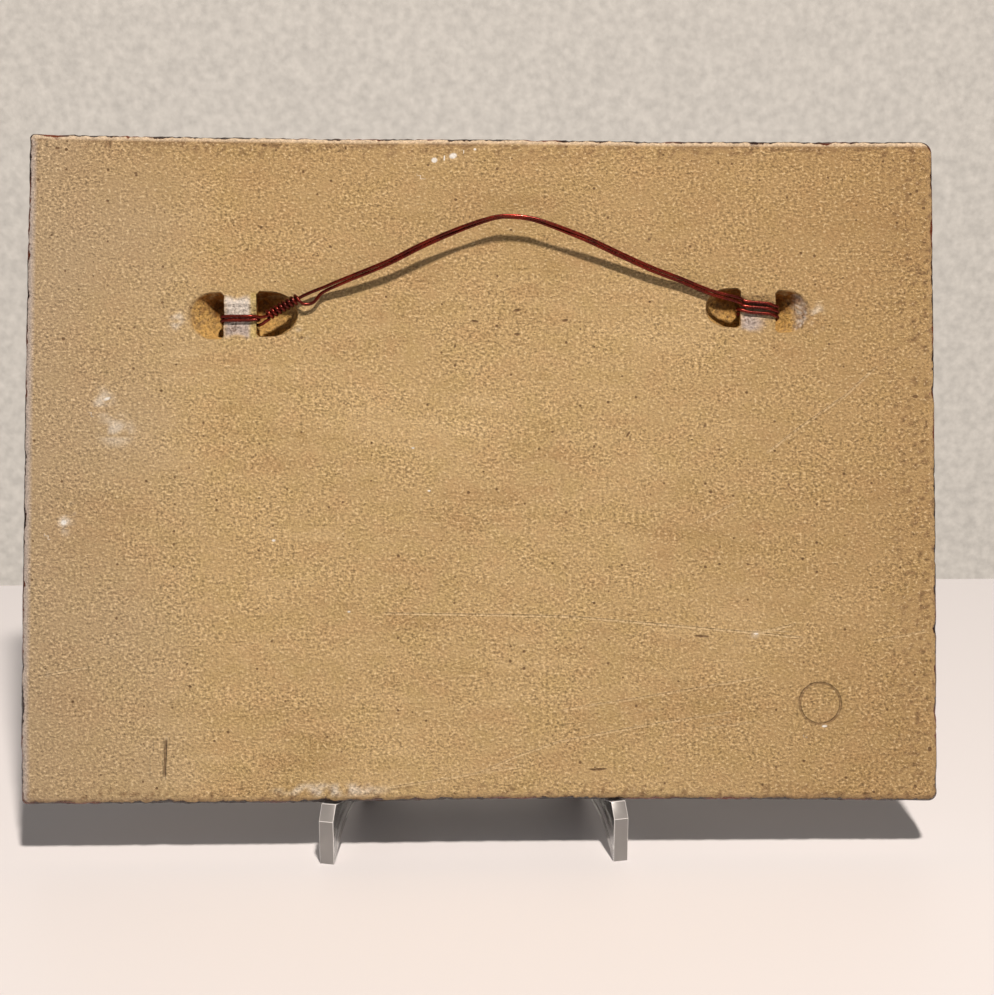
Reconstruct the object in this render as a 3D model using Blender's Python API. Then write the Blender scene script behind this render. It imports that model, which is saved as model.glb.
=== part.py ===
"""Decorative stoneware wall plaque, seen from its unglazed back, in a clear acrylic easel.

The slab leans back in the easel with its hanging wire towards the viewer. Metres, +Z up.
The origin is on the ground, in the middle of the whole object's box. The slab's back faces -Y.
Slab coordinates: x to the right, y up the slab, z out of its back face, from the face's centre.
"""
import math

import bmesh
import bpy
from mathutils import Vector

MM = 0.001

# Slab of stoneware, cut by hand: overall sizes and the lean of its back face from upright
slab_width = 281.6 * MM
slab_height = 206.6 * MM
slab_thickness = 13.0 * MM
slab_lean = math.radians(18.4)
# Turn in its own plane that sets the uneven lower edge on both sides of the easel
slab_roll = math.radians(-0.53)
# From the slab's middle down to the line through both places where it rests
rest_drop = 102.2 * MM
# Sideways, so that the origin stays under the middle of the turned slab
slab_shift = -0.145 * MM
back_edge_round = 2.0 * MM
front_edge_round = 1.5 * MM
edge_steps = 3
# Corner radii seen from the back: bottom left, bottom right, top right, top left
corner_radii = (3.3 * MM, 4.5 * MM, 5.5 * MM, 2.5 * MM)
corner_steps = 5
# An outline moved inwards keeps at least this much rounding
corner_least = 1.5 * MM
# How far each hand-cut side dips inwards: place along the side in shares of it, then depth
dips = {
    "bottom": ((0.0, 0.0), (0.16, 0.2), (0.3, 0.5), (0.46, 1.3), (0.55, 1.6), (0.82, 1.4), (1.0, 0.9)),
    "right": ((0.0, 0.4), (0.4, 0.1), (0.7, 0.0), (0.9, 0.0), (1.0, 0.2)),
    "top": ((0.0, 0.1), (0.12, 0.6), (0.35, 1.0), (0.5, 0.75), (0.7, 1.0), (1.0, 0.5)),
    "left": ((0.0, 0.9), (0.12, 0.2), (0.6, 0.0), (1.0, 0.1)),
}
side_steps = 14
# The glazed front: a plain field, sunk inside a raised border
border_width = 13.0 * MM
field_depth = 1.0 * MM

# Notches for the wire: each pair is scooped from both sides of a bridge of clay
notch_depth = 7.0 * MM
tunnel_depth = 5.0 * MM
tunnel_half_height = 4.2 * MM
tunnel_half_depth = 1.8 * MM
saddle_half_height = 5.0 * MM
saddle_depth = 0.8 * MM
saddle_rise = 0.3 * MM
left_bridge = {"x": -75.0 * MM, "width": 9.9 * MM, "wire_y": 45.3 * MM}
right_bridge = {"x": 85.6 * MM, "width": 10.9 * MM, "wire_y": 49.0 * MM}
# For each scoop: side of the bridge, reach from its wall, height, the height's middle, and
# whether its floor ramps up evenly instead of in a bowl
left_scoops = ((-1, 11.3 * MM, 14.9 * MM, 46.4 * MM, True), (1, 12.9 * MM, 14.2 * MM, 47.1 * MM, False))
right_scoops = ((-1, 10.9 * MM, 12.2 * MM, 49.9 * MM, False), (1, 10.9 * MM, 13.4 * MM, 48.8 * MM, True))
scoop_floor = 4.0 * MM
ramp_floor = 2.5 * MM
scoop_straight = 0.6
scoop_fullness = 0.8
scoop_bottom_share = 0.72
scoop_corner_share = 0.14
scoop_levels = 5
scoop_steps = 10
cut_over = 1.0 * MM
oval_steps = 16

# Hanging wire: one length of enamelled copper, doubled over the span
wire_diameter = 1.05 * MM
wire_gap = 0.35 * MM
strand_spacing = 1.15 * MM
coil_turns = 7.5
coil_radius = 1.25 * MM
coil_steps = 10
span_step = 4.0 * MM
# Middle line of the span in slab coordinates, in millimetres
span_route = (
    (-41.2, 57.6, 3.9), (-29.5, 62.3, 5.0), (-18.5, 67.8, 5.7), (-7.5, 72.6, 6.0), (2.6, 76.1, 6.3),
    (8.2, 76.7, 6.4), (14.3, 76.1, 6.3), (20.5, 74.3, 6.1), (31.6, 70.2, 5.2), (41.9, 65.7, 4.0),
    (51.5, 61.6, 3.0), (60.9, 58.2, 2.2), (70.4, 54.5, 1.6),
)
span_apex_x = 8.0
span_twist = math.radians(75.0)
span_twist_reach = 22.0
# The coil's middle line, and the loose loop that leads from it to the span
coil_start = (-66.6, 46.4, 0.7)
coil_end = (-57.3, 51.4, 2.1)
coil_lead_in = ((-68.9, 43.9, -1.3), (-68.0, 44.1, -0.4), (-67.1, 44.7, 0.3))
loop_route = (
    (-57.2, 51.8, 2.8), (-56.3, 50.6, 2.9), (-55.0, 49.8, 2.7), (-53.4, 49.9, 2.5), (-51.8, 50.7, 2.4),
    (-50.2, 52.0, 2.4), (-48.6, 53.1, 2.6), (-46.2, 54.4, 3.0),
)
upper_strand_left = ((-46.0, 56.3, 3.2), (-48.6, 55.2, 2.8), (-51.6, 54.1, 2.4), (-54.6, 52.8, 2.3))
upper_strand_right = ((79.2, 52.9, 1.1),)
lower_strand_right = ((79.0, 51.6, 1.0),)
# Height on the bridge against the angle of a turn round it, in degrees and millimetres
left_turns = ((62.0, 46.3), (180.0, 46.0), (360.0, 45.3), (540.0, 44.4), (705.0, 43.8))
right_turns_upper = ((122.0, 52.5), (60.0, 50.8), (0.0, 50.1), (-180.0, 49.7), (-238.0, 48.8),
                     (-300.0, 47.3), (-360.0, 46.9), (-385.0, 46.7))
right_turns_lower = ((122.0, 51.1), (60.0, 49.5), (0.0, 48.8), (-180.0, 48.2), (-200.0, 48.0))
turn_step = 20.0
turn_squareness = 0.4

# Easel of clear acrylic: two sides, toed in towards the back, and a bar between them
sheet_thickness = 4.5 * MM
easel_toe_in = math.radians(12.5)
easel_spacing = 89.9 * MM
easel_offset = -3.45 * MM
ledge_height = 14.2 * MM
ledge_lip = 3.4 * MM
lip_rise = 4.3 * MM
seat_gap = 0.3 * MM
toe_foot = 0.8 * MM
arch_span = 48.0 * MM
arch_rise = 9.6 * MM
arch_steps = 14
side_depth = 79.0 * MM
upright_height = 112.0 * MM
upright_width = 11.0 * MM
tip_steps = 8
heel_height = 7.0 * MM
back_hollow = 9.0 * MM
back_steps = 12
bar_height = 20.0 * MM
bar_ground_gap = 16.0 * MM
bar_from_back = 24.0 * MM


def lerp_pairs(pairs, place):
    """Read a list of (place, value) pairs at a place, in straight steps."""
    for (a, value_a), (b, value_b) in zip(pairs, pairs[1:]):
        if (a - place) * (b - place) <= 0.0:
            return value_a + (value_b - value_a) * (place - a) / (b - a)
    return pairs[0][1] if abs(place - pairs[0][0]) < abs(place - pairs[-1][0]) else pairs[-1][1]


def smooth_route(points, step):
    """Points of a smooth curve through the given ones, about a step apart."""
    points = [Vector(point) for point in points]
    ends = [points[0] * 2 - points[1]] + points + [points[-1] * 2 - points[-2]]
    route = []
    for p0, p1, p2, p3 in zip(ends, ends[1:], ends[2:], ends[3:]):
        count = max(1, round((p2 - p1).length / step))
        for index in range(count):
            t = index / count
            route.append(0.5 * (2 * p1 + (p2 - p0) * t + (2 * p0 - 5 * p1 + 4 * p2 - p3) * t ** 2
                                + (3 * p1 - p0 - 3 * p2 + p3) * t ** 3))
    route.append(points[-1])
    return route


def arc(centre, radius, start, end, steps):
    """Points of an arc between two angles."""
    angles = [start + (end - start) * index / steps for index in range(steps + 1)]
    return [(centre[0] + radius * math.cos(a), centre[1] + radius * math.sin(a)) for a in angles]


def make_material(name, colour, roughness, metallic=0.0, transmission=0.0):
    material = bpy.data.materials.new(name)
    material.use_nodes = True
    shader = material.node_tree.nodes["Principled BSDF"]
    shader.inputs["Base Color"].default_value = (*colour, 1.0)
    shader.inputs["Roughness"].default_value = roughness
    shader.inputs["Metallic"].default_value = metallic
    shader.inputs["Transmission Weight"].default_value = transmission
    return material


def add_object(name, mesh_or_curve, material):
    mesh_or_curve.materials.append(material)
    piece = bpy.data.objects.new(name, mesh_or_curve)
    bpy.context.scene.collection.objects.link(piece)
    return piece


def mesh_from_rings(name, rings):
    """Closed mesh through rings of as many points each, capped at both ends."""
    shape = bmesh.new()
    loops = [[shape.verts.new(point) for point in ring] for ring in rings]
    for lower, upper in zip(loops, loops[1:]):
        for index, vertex in enumerate(lower):
            after = (index + 1) % len(lower)
            shape.faces.new((vertex, lower[after], upper[after], upper[index]))
    shape.faces.new(list(reversed(loops[0])))
    shape.faces.new(loops[-1])
    bmesh.ops.recalc_face_normals(shape, faces=shape.faces)
    mesh = bpy.data.meshes.new(name)
    shape.to_mesh(mesh)
    shape.free()
    return mesh


# Where the slab stands: its lower back edge meets the crest of the easel's lip
corner_reach = sheet_thickness / 2 * math.sin(easel_toe_in)
lean_sin = math.sin(slab_lean)
lean_cos = math.cos(slab_lean)
far_reach = ((slab_height - front_edge_round) * lean_sin
             + (slab_thickness - front_edge_round) * lean_cos + front_edge_round)
total_depth = corner_reach + ledge_lip + far_reach
toe_y = corner_reach - total_depth / 2
slab_foot_y = toe_y + ledge_lip
slab_foot_z = ledge_height + lip_rise + (seat_gap + corner_reach * lean_sin) / lean_cos
slab_centre = Vector((slab_shift, slab_foot_y + rest_drop * lean_sin,
                      slab_foot_z + rest_drop * lean_cos))


def place_on_slab(piece):
    """Give a piece made in slab coordinates the slab's place and lean."""
    piece.location = slab_centre
    piece.rotation_mode = "ZYX"
    piece.rotation_euler = (math.pi / 2 - slab_lean, 0.0, slab_roll)


def slab_outline(amount):
    """The slab's outline moved inwards by an amount, anticlockwise from its bottom left corner."""
    half_x = slab_width / 2
    half_y = slab_height / 2
    sides = (
        ("bottom", (-half_x, -half_y), (1, 0), (0, 1), slab_width),
        ("right", (half_x, -half_y), (0, 1), (-1, 0), slab_height),
        ("top", (half_x, half_y), (-1, 0), (0, -1), slab_width),
        ("left", (-half_x, half_y), (0, -1), (1, 0), slab_height),
    )
    radii = [max(radius, amount + corner_least) for radius in corner_radii]
    points = []
    for number, (side, corner, along, inward, length) in enumerate(sides):
        radius = radii[number]
        next_radius = radii[(number + 1) % len(radii)]
        forward = side in ("bottom", "right")
        edge = []
        for index in range(side_steps + 1):
            place = radius + (length - radius - next_radius) * index / side_steps
            share = place / length if forward else 1.0 - place / length
            dip = lerp_pairs(dips[side], share) * MM + amount
            edge.append((corner[0] + along[0] * place + inward[0] * dip,
                         corner[1] + along[1] * place + inward[1] * dip))
        points.append(edge)
    outline = []
    for number, edge in enumerate(points):
        outline += edge
        after = points[(number + 1) % len(points)]
        end = Vector(edge[-1])
        start = Vector(after[0])
        across = Vector((sides[number][2][0], sides[number][2][1]))
        knee = end + across * (start - end).dot(across)
        for index in range(1, corner_steps):
            t = index / corner_steps
            outline.append(tuple(end * (1 - t) ** 2 + knee * 2 * t * (1 - t) + start * t ** 2))
    return outline


def slab_rings():
    """Rings from the sunk field of the front, round the edges, to the back face."""
    rings = [(border_width + field_depth, -slab_thickness + field_depth), (border_width, -slab_thickness)]
    quarter = [math.pi / 2 * index / edge_steps for index in range(edge_steps + 1)]
    for angle in reversed(quarter):
        rings.append((front_edge_round * (1 - math.cos(angle)),
                      -slab_thickness + front_edge_round * (1 - math.sin(angle))))
    for angle in quarter:
        rings.append((back_edge_round * (1 - math.cos(angle)), -back_edge_round * (1 - math.sin(angle))))
    return [[(x, y, z) for x, y in slab_outline(amount)] for amount, z in rings]


def scoop_cutter(name, bridge, side, reach, height, middle, ramped):
    """A scooped notch: a straight wall at the bridge, and a floor that rises away from it."""
    wall = bridge["x"] + side * bridge["width"] / 2
    floor = ramp_floor if ramped else scoop_floor
    rings = []
    for level in range(scoop_levels + 1):
        t = level / scoop_levels
        z = -notch_depth * t if level else cut_over
        shape = 1.0 + z / notch_depth if ramped else math.sqrt(1.0 - t ** 2)
        level_half = height / 2 * (scoop_bottom_share + (1.0 - scoop_bottom_share) * shape)
        rings.append((floor + (reach - floor) * shape, level_half, z))
    layers = []
    for level_reach, half, z in rings:
        straight = floor * scoop_straight
        corner = half * scoop_corner_share
        layer = [(wall, middle - half + corner, z), (wall + side * corner, middle - half, z)]
        for index in range(scoop_steps + 1):
            angle = math.pi * (index / scoop_steps - 0.5)
            fullness = max(math.cos(angle), 0.0) ** scoop_fullness
            layer.append((wall + side * (straight + (level_reach - straight) * fullness),
                          middle + half * math.sin(angle), z))
        layer += [(wall + side * corner, middle + half, z), (wall, middle + half - corner, z)]
        layers.append(layer)
    return mesh_from_rings(name, layers)


def bar_cutter(name, bridge, overhang, half_height, half_depth, depth):
    """An oval bar across the bridge, for the tunnel behind it or the saddle in its face."""
    layers = []
    for side in (-1, 1):
        x = bridge["x"] + side * (bridge["width"] / 2 + overhang)
        layers.append([(x, bridge["wire_y"] + half_height * math.cos(a), -depth + half_depth * math.sin(a))
                       for a in (math.tau * index / oval_steps for index in range(oval_steps))])
    return mesh_from_rings(name, layers)


def build_slab():
    clay = make_material("Buff stoneware", (0.50, 0.35, 0.19), 0.9)
    slab = add_object("plaque_slab", mesh_from_rings("plaque_slab", slab_rings()), clay)
    cutters = []
    for label, bridge, scoops in (("left", left_bridge, left_scoops), ("right", right_bridge, right_scoops)):
        for side, *sizes in scoops:
            name = f"{label} scoop {side}"
            cutters.append(add_object(name, scoop_cutter(name, bridge, side, *sizes), clay))
        tunnel = bar_cutter(f"{label} tunnel", bridge, scoop_floor / 2, tunnel_half_height,
                            tunnel_half_depth, tunnel_depth)
        cutters.append(add_object(f"{label} tunnel", tunnel, clay))
        saddle = bar_cutter(f"{label} saddle", bridge, cut_over, saddle_half_height,
                            saddle_depth + saddle_rise, -saddle_rise)
        cutters.append(add_object(f"{label} saddle", saddle, clay))
    for cutter in cutters:
        cutter.hide_render = True
        cutter.display_type = "WIRE"
        place_on_slab(cutter)
        cut = slab.modifiers.new(cutter.name, "BOOLEAN")
        cut.operation = "DIFFERENCE"
        cut.object = cutter
    place_on_slab(slab)
    return slab


def bridge_turns(bridge, heights):
    """The wire's way round a bridge, in millimetres: a squarish turn through scoops and tunnel."""
    half_width = (bridge["width"] / 2 + wire_diameter / 2 + wire_gap) / MM
    front = (-saddle_depth + wire_diameter / 2 + wire_gap) / MM
    back = (-tunnel_depth + tunnel_half_depth - wire_diameter / 2 - wire_gap) / MM
    middle = (front + back) / 2
    half_depth = (front - back) / 2
    first = heights[0][0]
    last = heights[-1][0]
    count = round(abs(last - first) / turn_step)
    points = []
    for index in range(count + 1):
        angle = first + (last - first) * index / count
        c = math.cos(math.radians(angle))
        s = math.sin(math.radians(angle))
        x = bridge["x"] / MM + half_width * math.copysign(abs(c) ** turn_squareness, c)
        z = middle + half_depth * math.copysign(abs(s) ** turn_squareness, s)
        points.append((x, lerp_pairs(heights, angle), z))
    return points


def span_strand(side):
    """One strand of the doubled span: side 1 runs above the middle line, side -1 below it."""
    points = []
    for x, y, z in span_route:
        turn = span_twist * math.exp(-((x - span_apex_x) / span_twist_reach) ** 2)
        shift = side * strand_spacing / MM / 2
        points.append((x, y + shift * math.cos(turn), z + shift * math.sin(turn)))
    return points


def coil_route():
    """The turns that the wire takes round its upper strand, from the left end to the right."""
    start = Vector(coil_start)
    end = Vector(coil_end)
    along = (end - start).normalized()
    outward = Vector((0.0, 0.0, 1.0))
    upward = outward.cross(along).normalized()
    count = round(coil_turns * coil_steps)
    points = []
    for index in range(count + 1):
        angle = math.pi + math.tau * index / coil_steps
        radius = coil_radius / MM
        points.append(start.lerp(end, index / count)
                      + upward * radius * math.cos(angle) + outward * radius * math.sin(angle))
    return points


def wire_route():
    """The whole wire in slab coordinates, from its end in the right notch to the other beside it."""
    upper = list(reversed(bridge_turns(right_bridge, right_turns_upper)))
    upper += list(upper_strand_right) + list(reversed(span_strand(1)))
    upper += list(upper_strand_left) + [coil_end, coil_start]
    lower = list(loop_route) + span_strand(-1) + list(lower_strand_right)
    lower += bridge_turns(right_bridge, right_turns_lower)
    turns = bridge_turns(left_bridge, left_turns) + list(coil_lead_in)
    step = span_step / MM
    route = smooth_route(upper + turns, step) + coil_route() + smooth_route(lower, step)
    return [Vector(point) * MM for point in route]


def build_wire():
    enamel = make_material("Enamelled copper wire", (0.10, 0.02, 0.012), 0.3, metallic=0.6)
    curve = bpy.data.curves.new("hanging_wire", "CURVE")
    curve.dimensions = "3D"
    curve.bevel_depth = wire_diameter / 2
    curve.bevel_resolution = 2
    curve.use_fill_caps = True
    route = wire_route()
    spline = curve.splines.new("POLY")
    spline.points.add(len(route) - 1)
    for point, place in zip(spline.points, route):
        point.co = (*place, 1.0)
    wire = add_object("hanging_wire", curve, enamel)
    place_on_slab(wire)
    return wire


def easel_profile():
    """Side view of an easel side as (depth from the toe, height), anticlockwise from the toe."""
    half = arch_span / 2
    radius = (half ** 2 + arch_rise ** 2) / (2 * arch_rise)
    opening = math.asin(half / radius)
    centre = (toe_foot + half, arch_rise - radius)
    points = [(0.0, 0.0)]
    points += arc(centre, radius, math.pi / 2 + opening, math.pi / 2 - opening, arch_steps)
    points += [(side_depth, 0.0), (side_depth, heel_height)]
    seat_length = slab_thickness + (seat_gap + corner_reach) / lean_cos
    seat_low = (ledge_lip + seat_length * lean_cos, ledge_height + lip_rise - seat_length * lean_sin)
    tip = (seat_low[0] + upright_height * lean_sin, seat_low[1] + upright_height * lean_cos)
    tip_back = (tip[0] + upright_width * lean_cos, tip[1] - upright_width * lean_sin)
    heel = Vector((side_depth, heel_height))
    top = Vector(tip_back)
    outward = Vector((top.y - heel.y, heel.x - top.x)).normalized()
    for index in range(1, back_steps):
        t = index / back_steps
        points.append(tuple(heel.lerp(top, t) - outward * back_hollow * 4 * t * (1 - t)))
    tip_centre = Vector(tip).lerp(top, 0.5) - Vector((lean_sin, lean_cos)) * upright_width / 2
    points += arc(tip_centre, upright_width / 2, -slab_lean, math.pi - slab_lean, tip_steps)
    points += [seat_low, (ledge_lip, ledge_height + lip_rise), (0.0, ledge_height)]
    return points


def easel_side(name, side, acrylic):
    """One side of the easel: the profile cut from sheet and turned in by the toe-in."""
    along = Vector((-side * math.sin(easel_toe_in), math.cos(easel_toe_in), 0.0))
    across = Vector((math.cos(easel_toe_in), side * math.sin(easel_toe_in), 0.0))
    front = Vector((easel_offset + side * easel_spacing / 2, toe_y, 0.0))
    rings = []
    for face in (-1, 1):
        offset = front + across * face * sheet_thickness / 2
        rings.append([offset + along * depth / math.cos(easel_toe_in) + Vector((0.0, 0.0, height))
                      for depth, height in easel_profile()])
    return add_object(name, mesh_from_rings(name, rings), acrylic)


def easel_bar(acrylic):
    """The bar between the sides, its ends cut to their toe-in."""
    rings = []
    for side in (-1, 1):
        ring = []
        for depth, height in ((0, 0), (1, 0), (1, 1), (0, 1)):
            y = side_depth - bar_from_back + depth * sheet_thickness
            reach = (easel_spacing / 2 - y * math.tan(easel_toe_in)
                     - (sheet_thickness / 2 + seat_gap) / math.cos(easel_toe_in))
            ring.append((easel_offset + side * reach, toe_y + y, bar_ground_gap + height * bar_height))
        rings.append(ring)
    return add_object("easel_cross_bar", mesh_from_rings("easel_cross_bar", rings), acrylic)


def main():
    for piece in list(bpy.data.objects):
        bpy.data.objects.remove(piece, do_unlink=True)
    build_slab()
    build_wire()
    for name, side in (("easel_side_left", -1), ("easel_side_right", 1)):
        acrylic = make_material(name, (0.95, 0.97, 0.97), 0.05, transmission=1.0)
        easel_side(name, side, acrylic)
    easel_bar(make_material("easel_cross_bar", (0.95, 0.97, 0.97), 0.05, transmission=1.0))


main()
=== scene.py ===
"""Looks of a stoneware wall plaque that leans, its back to the viewer, in a clear acrylic easel.

Metres, +Z up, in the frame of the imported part. Slab coordinates are in millimetres, from the
middle of the slab's back face: x to the right, y up the slab and z out of the face.
"""

import logging
import math
from collections.abc import Callable, Sequence
from dataclasses import dataclass, field
from enum import Enum

import bpy
import numpy as np
from mathutils import Euler, Matrix, Vector, kdtree, noise


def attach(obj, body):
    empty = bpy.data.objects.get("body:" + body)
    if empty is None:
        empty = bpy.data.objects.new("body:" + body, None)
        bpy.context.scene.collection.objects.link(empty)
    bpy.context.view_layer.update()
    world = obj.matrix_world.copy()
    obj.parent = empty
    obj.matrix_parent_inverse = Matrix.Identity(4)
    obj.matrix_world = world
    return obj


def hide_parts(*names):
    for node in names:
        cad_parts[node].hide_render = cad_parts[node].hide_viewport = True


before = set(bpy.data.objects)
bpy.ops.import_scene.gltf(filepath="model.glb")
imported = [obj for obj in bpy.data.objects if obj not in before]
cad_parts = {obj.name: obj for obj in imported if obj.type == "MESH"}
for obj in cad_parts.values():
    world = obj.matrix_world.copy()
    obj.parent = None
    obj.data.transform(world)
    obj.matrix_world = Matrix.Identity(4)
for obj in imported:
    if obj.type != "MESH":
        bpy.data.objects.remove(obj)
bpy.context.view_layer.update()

MM = 0.001
BODY = "root"
SCRATCH_ACROSS = "scratch_across"
SCRATCH_DEPTH = "scratch_depth"
SPOT_OFF = "spot_off"
PAINT = "clay_paint"
log = logging.getLogger("plaque")

Point = tuple[float, float, float]
Pairs = tuple[tuple[float, float], ...]
Socket = bpy.types.NodeSocket


class Slot(Enum):
    """The record's material slots."""

    STONEWARE = "stoneware"
    WIRE = "copper_wire"
    ACRYLIC = "clear_acrylic"


# Helpers for meshes


def deselect_all() -> None:
    """Deselects every object."""
    for piece in list(bpy.context.selected_objects):
        piece.select_set(False)


def make_active(piece: bpy.types.Object) -> None:
    """Selects one object alone and makes it active.

    Args:
        piece: The object to work on.
    """
    deselect_all()
    piece.select_set(True)
    bpy.context.view_layer.objects.active = piece


def mesh_object(name: str, vertices: Sequence[Sequence[float]],
                faces: Sequence[Sequence[int]]) -> bpy.types.Object:
    """Adds an object from vertices and faces.

    Args:
        name: Name of the object and its mesh.
        vertices: Places of the vertices.
        faces: Vertex numbers of each face.

    Returns:
        The new object, active and selected alone.
    """
    mesh = bpy.data.meshes.new(name)
    mesh.from_pydata([tuple(vertex) for vertex in vertices], [], [tuple(face) for face in faces])
    piece = bpy.data.objects.new(name, mesh)
    bpy.context.scene.collection.objects.link(piece)
    make_active(piece)
    return piece


def edit(piece: bpy.types.Object, *steps: Callable[[], object]) -> None:
    """Runs operators on a piece in edit mode.

    Args:
        piece: The piece to edit.
        steps: Calls to make in edit mode, in order.
    """
    make_active(piece)
    bpy.ops.object.mode_set(mode="EDIT")
    for step in steps:
        step()
    bpy.ops.object.mode_set(mode="OBJECT")


def face_outwards(piece: bpy.types.Object) -> None:
    """Turns all faces of a closed piece outwards."""
    edit(piece, lambda: bpy.ops.mesh.select_all(action="SELECT"),
         lambda: bpy.ops.mesh.normals_make_consistent(inside=False))


def closed_rings(name: str, rings: Sequence[Sequence[Sequence[float]]]) -> bpy.types.Object:
    """Adds a closed mesh through rings of as many points each, capped at both ends.

    Args:
        name: Name of the object.
        rings: Rings of points, from one end to the other.

    Returns:
        The new object.
    """
    size = len(rings[0])
    vertices = [point for ring in rings for point in ring]
    faces: list[list[int]] = [list(reversed(range(size))),
                              list(range((len(rings) - 1) * size, len(rings) * size))]
    for level in range(len(rings) - 1):
        for index in range(size):
            after = (index + 1) % size
            faces.append([level * size + index, level * size + after,
                          (level + 1) * size + after, (level + 1) * size + index])
    piece = mesh_object(name, vertices, faces)
    face_outwards(piece)
    return piece


def apply_modifier(piece: bpy.types.Object, kind: str, **settings: object) -> None:
    """Adds a modifier to a piece and applies it.

    Args:
        piece: The piece to change.
        kind: Type of the modifier.
        settings: Values of the modifier's own properties.
    """
    make_active(piece)
    modifier = piece.modifiers.new(kind.title(), kind)
    for name, value in settings.items():
        setattr(modifier, name, value)
    bpy.ops.object.modifier_apply(modifier=modifier.name)


def shade(piece: bpy.types.Object, degrees: float) -> None:
    """Shades a piece smooth where its faces meet at less than an angle.

    Args:
        piece: The piece to shade.
        degrees: Angle from which an edge stays sharp.
    """
    make_active(piece)
    bpy.ops.object.shade_smooth_by_angle(angle=math.radians(degrees))


def remove(piece: bpy.types.Object) -> None:
    """Removes an object and its mesh."""
    mesh = piece.data
    bpy.data.objects.remove(piece)
    bpy.data.meshes.remove(mesh)


def places_of(piece: bpy.types.Object) -> np.ndarray:
    """Places of a mesh's vertices, a row for each."""
    places = np.empty(len(piece.data.vertices) * 3)
    piece.data.vertices.foreach_get("co", places)
    return places.reshape(-1, 3)


def normals_of(piece: bpy.types.Object) -> np.ndarray:
    """Normals of a mesh's vertices, a row for each."""
    normals = np.empty(len(piece.data.vertices) * 3)
    piece.data.vertices.foreach_get("normal", normals)
    return normals.reshape(-1, 3)


def set_places(piece: bpy.types.Object, places: np.ndarray) -> None:
    """Gives a mesh's vertices new places.

    Args:
        piece: The piece to change.
        places: A row for each vertex.
    """
    piece.data.vertices.foreach_set("co", places.ravel())
    piece.data.update()


def noise_at(places: np.ndarray, size: Sequence[float], seed: float = 0.0) -> np.ndarray:
    """Smooth noise from about -1 to 1 at many places.

    Args:
        places: A row for each place.
        size: Size of the noise's lumps along x, y and z, in the places' units.
        seed: Moves the pattern.

    Returns:
        One value for each place.
    """
    return np.array([noise.noise(Vector(row)) for row in places / np.array(size) + seed])


@dataclass(frozen=True)
class Waves:
    """A layer of smooth noise: its strength, the size of its lumps and what moves its pattern."""

    strength: float
    size: Point
    seed: float

    def at(self, places: np.ndarray) -> np.ndarray:
        """The layer's value at each place."""
        return self.strength * noise_at(places, self.size, self.seed)

    def above(self, places: np.ndarray, least: float) -> np.ndarray:
        """What the layer has above a level of its noise, and 0 elsewhere.

        Args:
            places: A row for each place.
            least: The level.

        Returns:
            One value for each place.
        """
        return self.strength * np.maximum(noise_at(places, self.size, self.seed) - least, 0.0)


def read_pairs(pairs: Pairs, place: float | np.ndarray) -> np.ndarray:
    """Value at a place in a list of (place, value) pairs, in straight steps.

    Args:
        pairs: The list, in either order of places.
        place: One place or many.

    Returns:
        The value or values there.
    """
    ordered = sorted(pairs)
    return np.interp(place, [pair[0] for pair in ordered], [pair[1] for pair in ordered])


def smooth_route(points: Sequence[Sequence[float]], step: float) -> list[Vector]:
    """Points of a smooth curve through the given ones.

    Args:
        points: Places that the curve runs through.
        step: Rough distance between the new points.

    Returns:
        The curve's points.
    """
    given = [Vector(point) for point in points]
    ends = [given[0] * 2 - given[1]] + given + [given[-1] * 2 - given[-2]]
    route: list[Vector] = []
    for p0, p1, p2, p3 in zip(ends, ends[1:], ends[2:], ends[3:]):
        count = max(1, round((p2 - p1).length / step))
        for index in range(count):
            t = index / count
            route.append(0.5 * (2 * p1 + (p2 - p0) * t + (2 * p0 - 5 * p1 + 4 * p2 - p3) * t ** 2
                                + (3 * p1 - p0 - 3 * p2 + p3) * t ** 3))
    route.append(given[-1])
    return route


def finish_piece(piece: bpy.types.Object, slot: Slot, *nodes: str) -> None:
    """Lets a piece ride on the part's body, and hides the nodes that it stands for.

    Args:
        piece: The finished piece.
        slot: Material slot of the record; not used.
        nodes: CAD nodes that the piece replaces.
    """
    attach(piece, BODY)
    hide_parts(*nodes)
    triangles = sum(len(face.vertices) - 2 for face in piece.data.polygons)
    log.info("%s: %d triangles, for %s", piece.name, triangles, ", ".join(nodes))


# Helpers for materials


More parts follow.
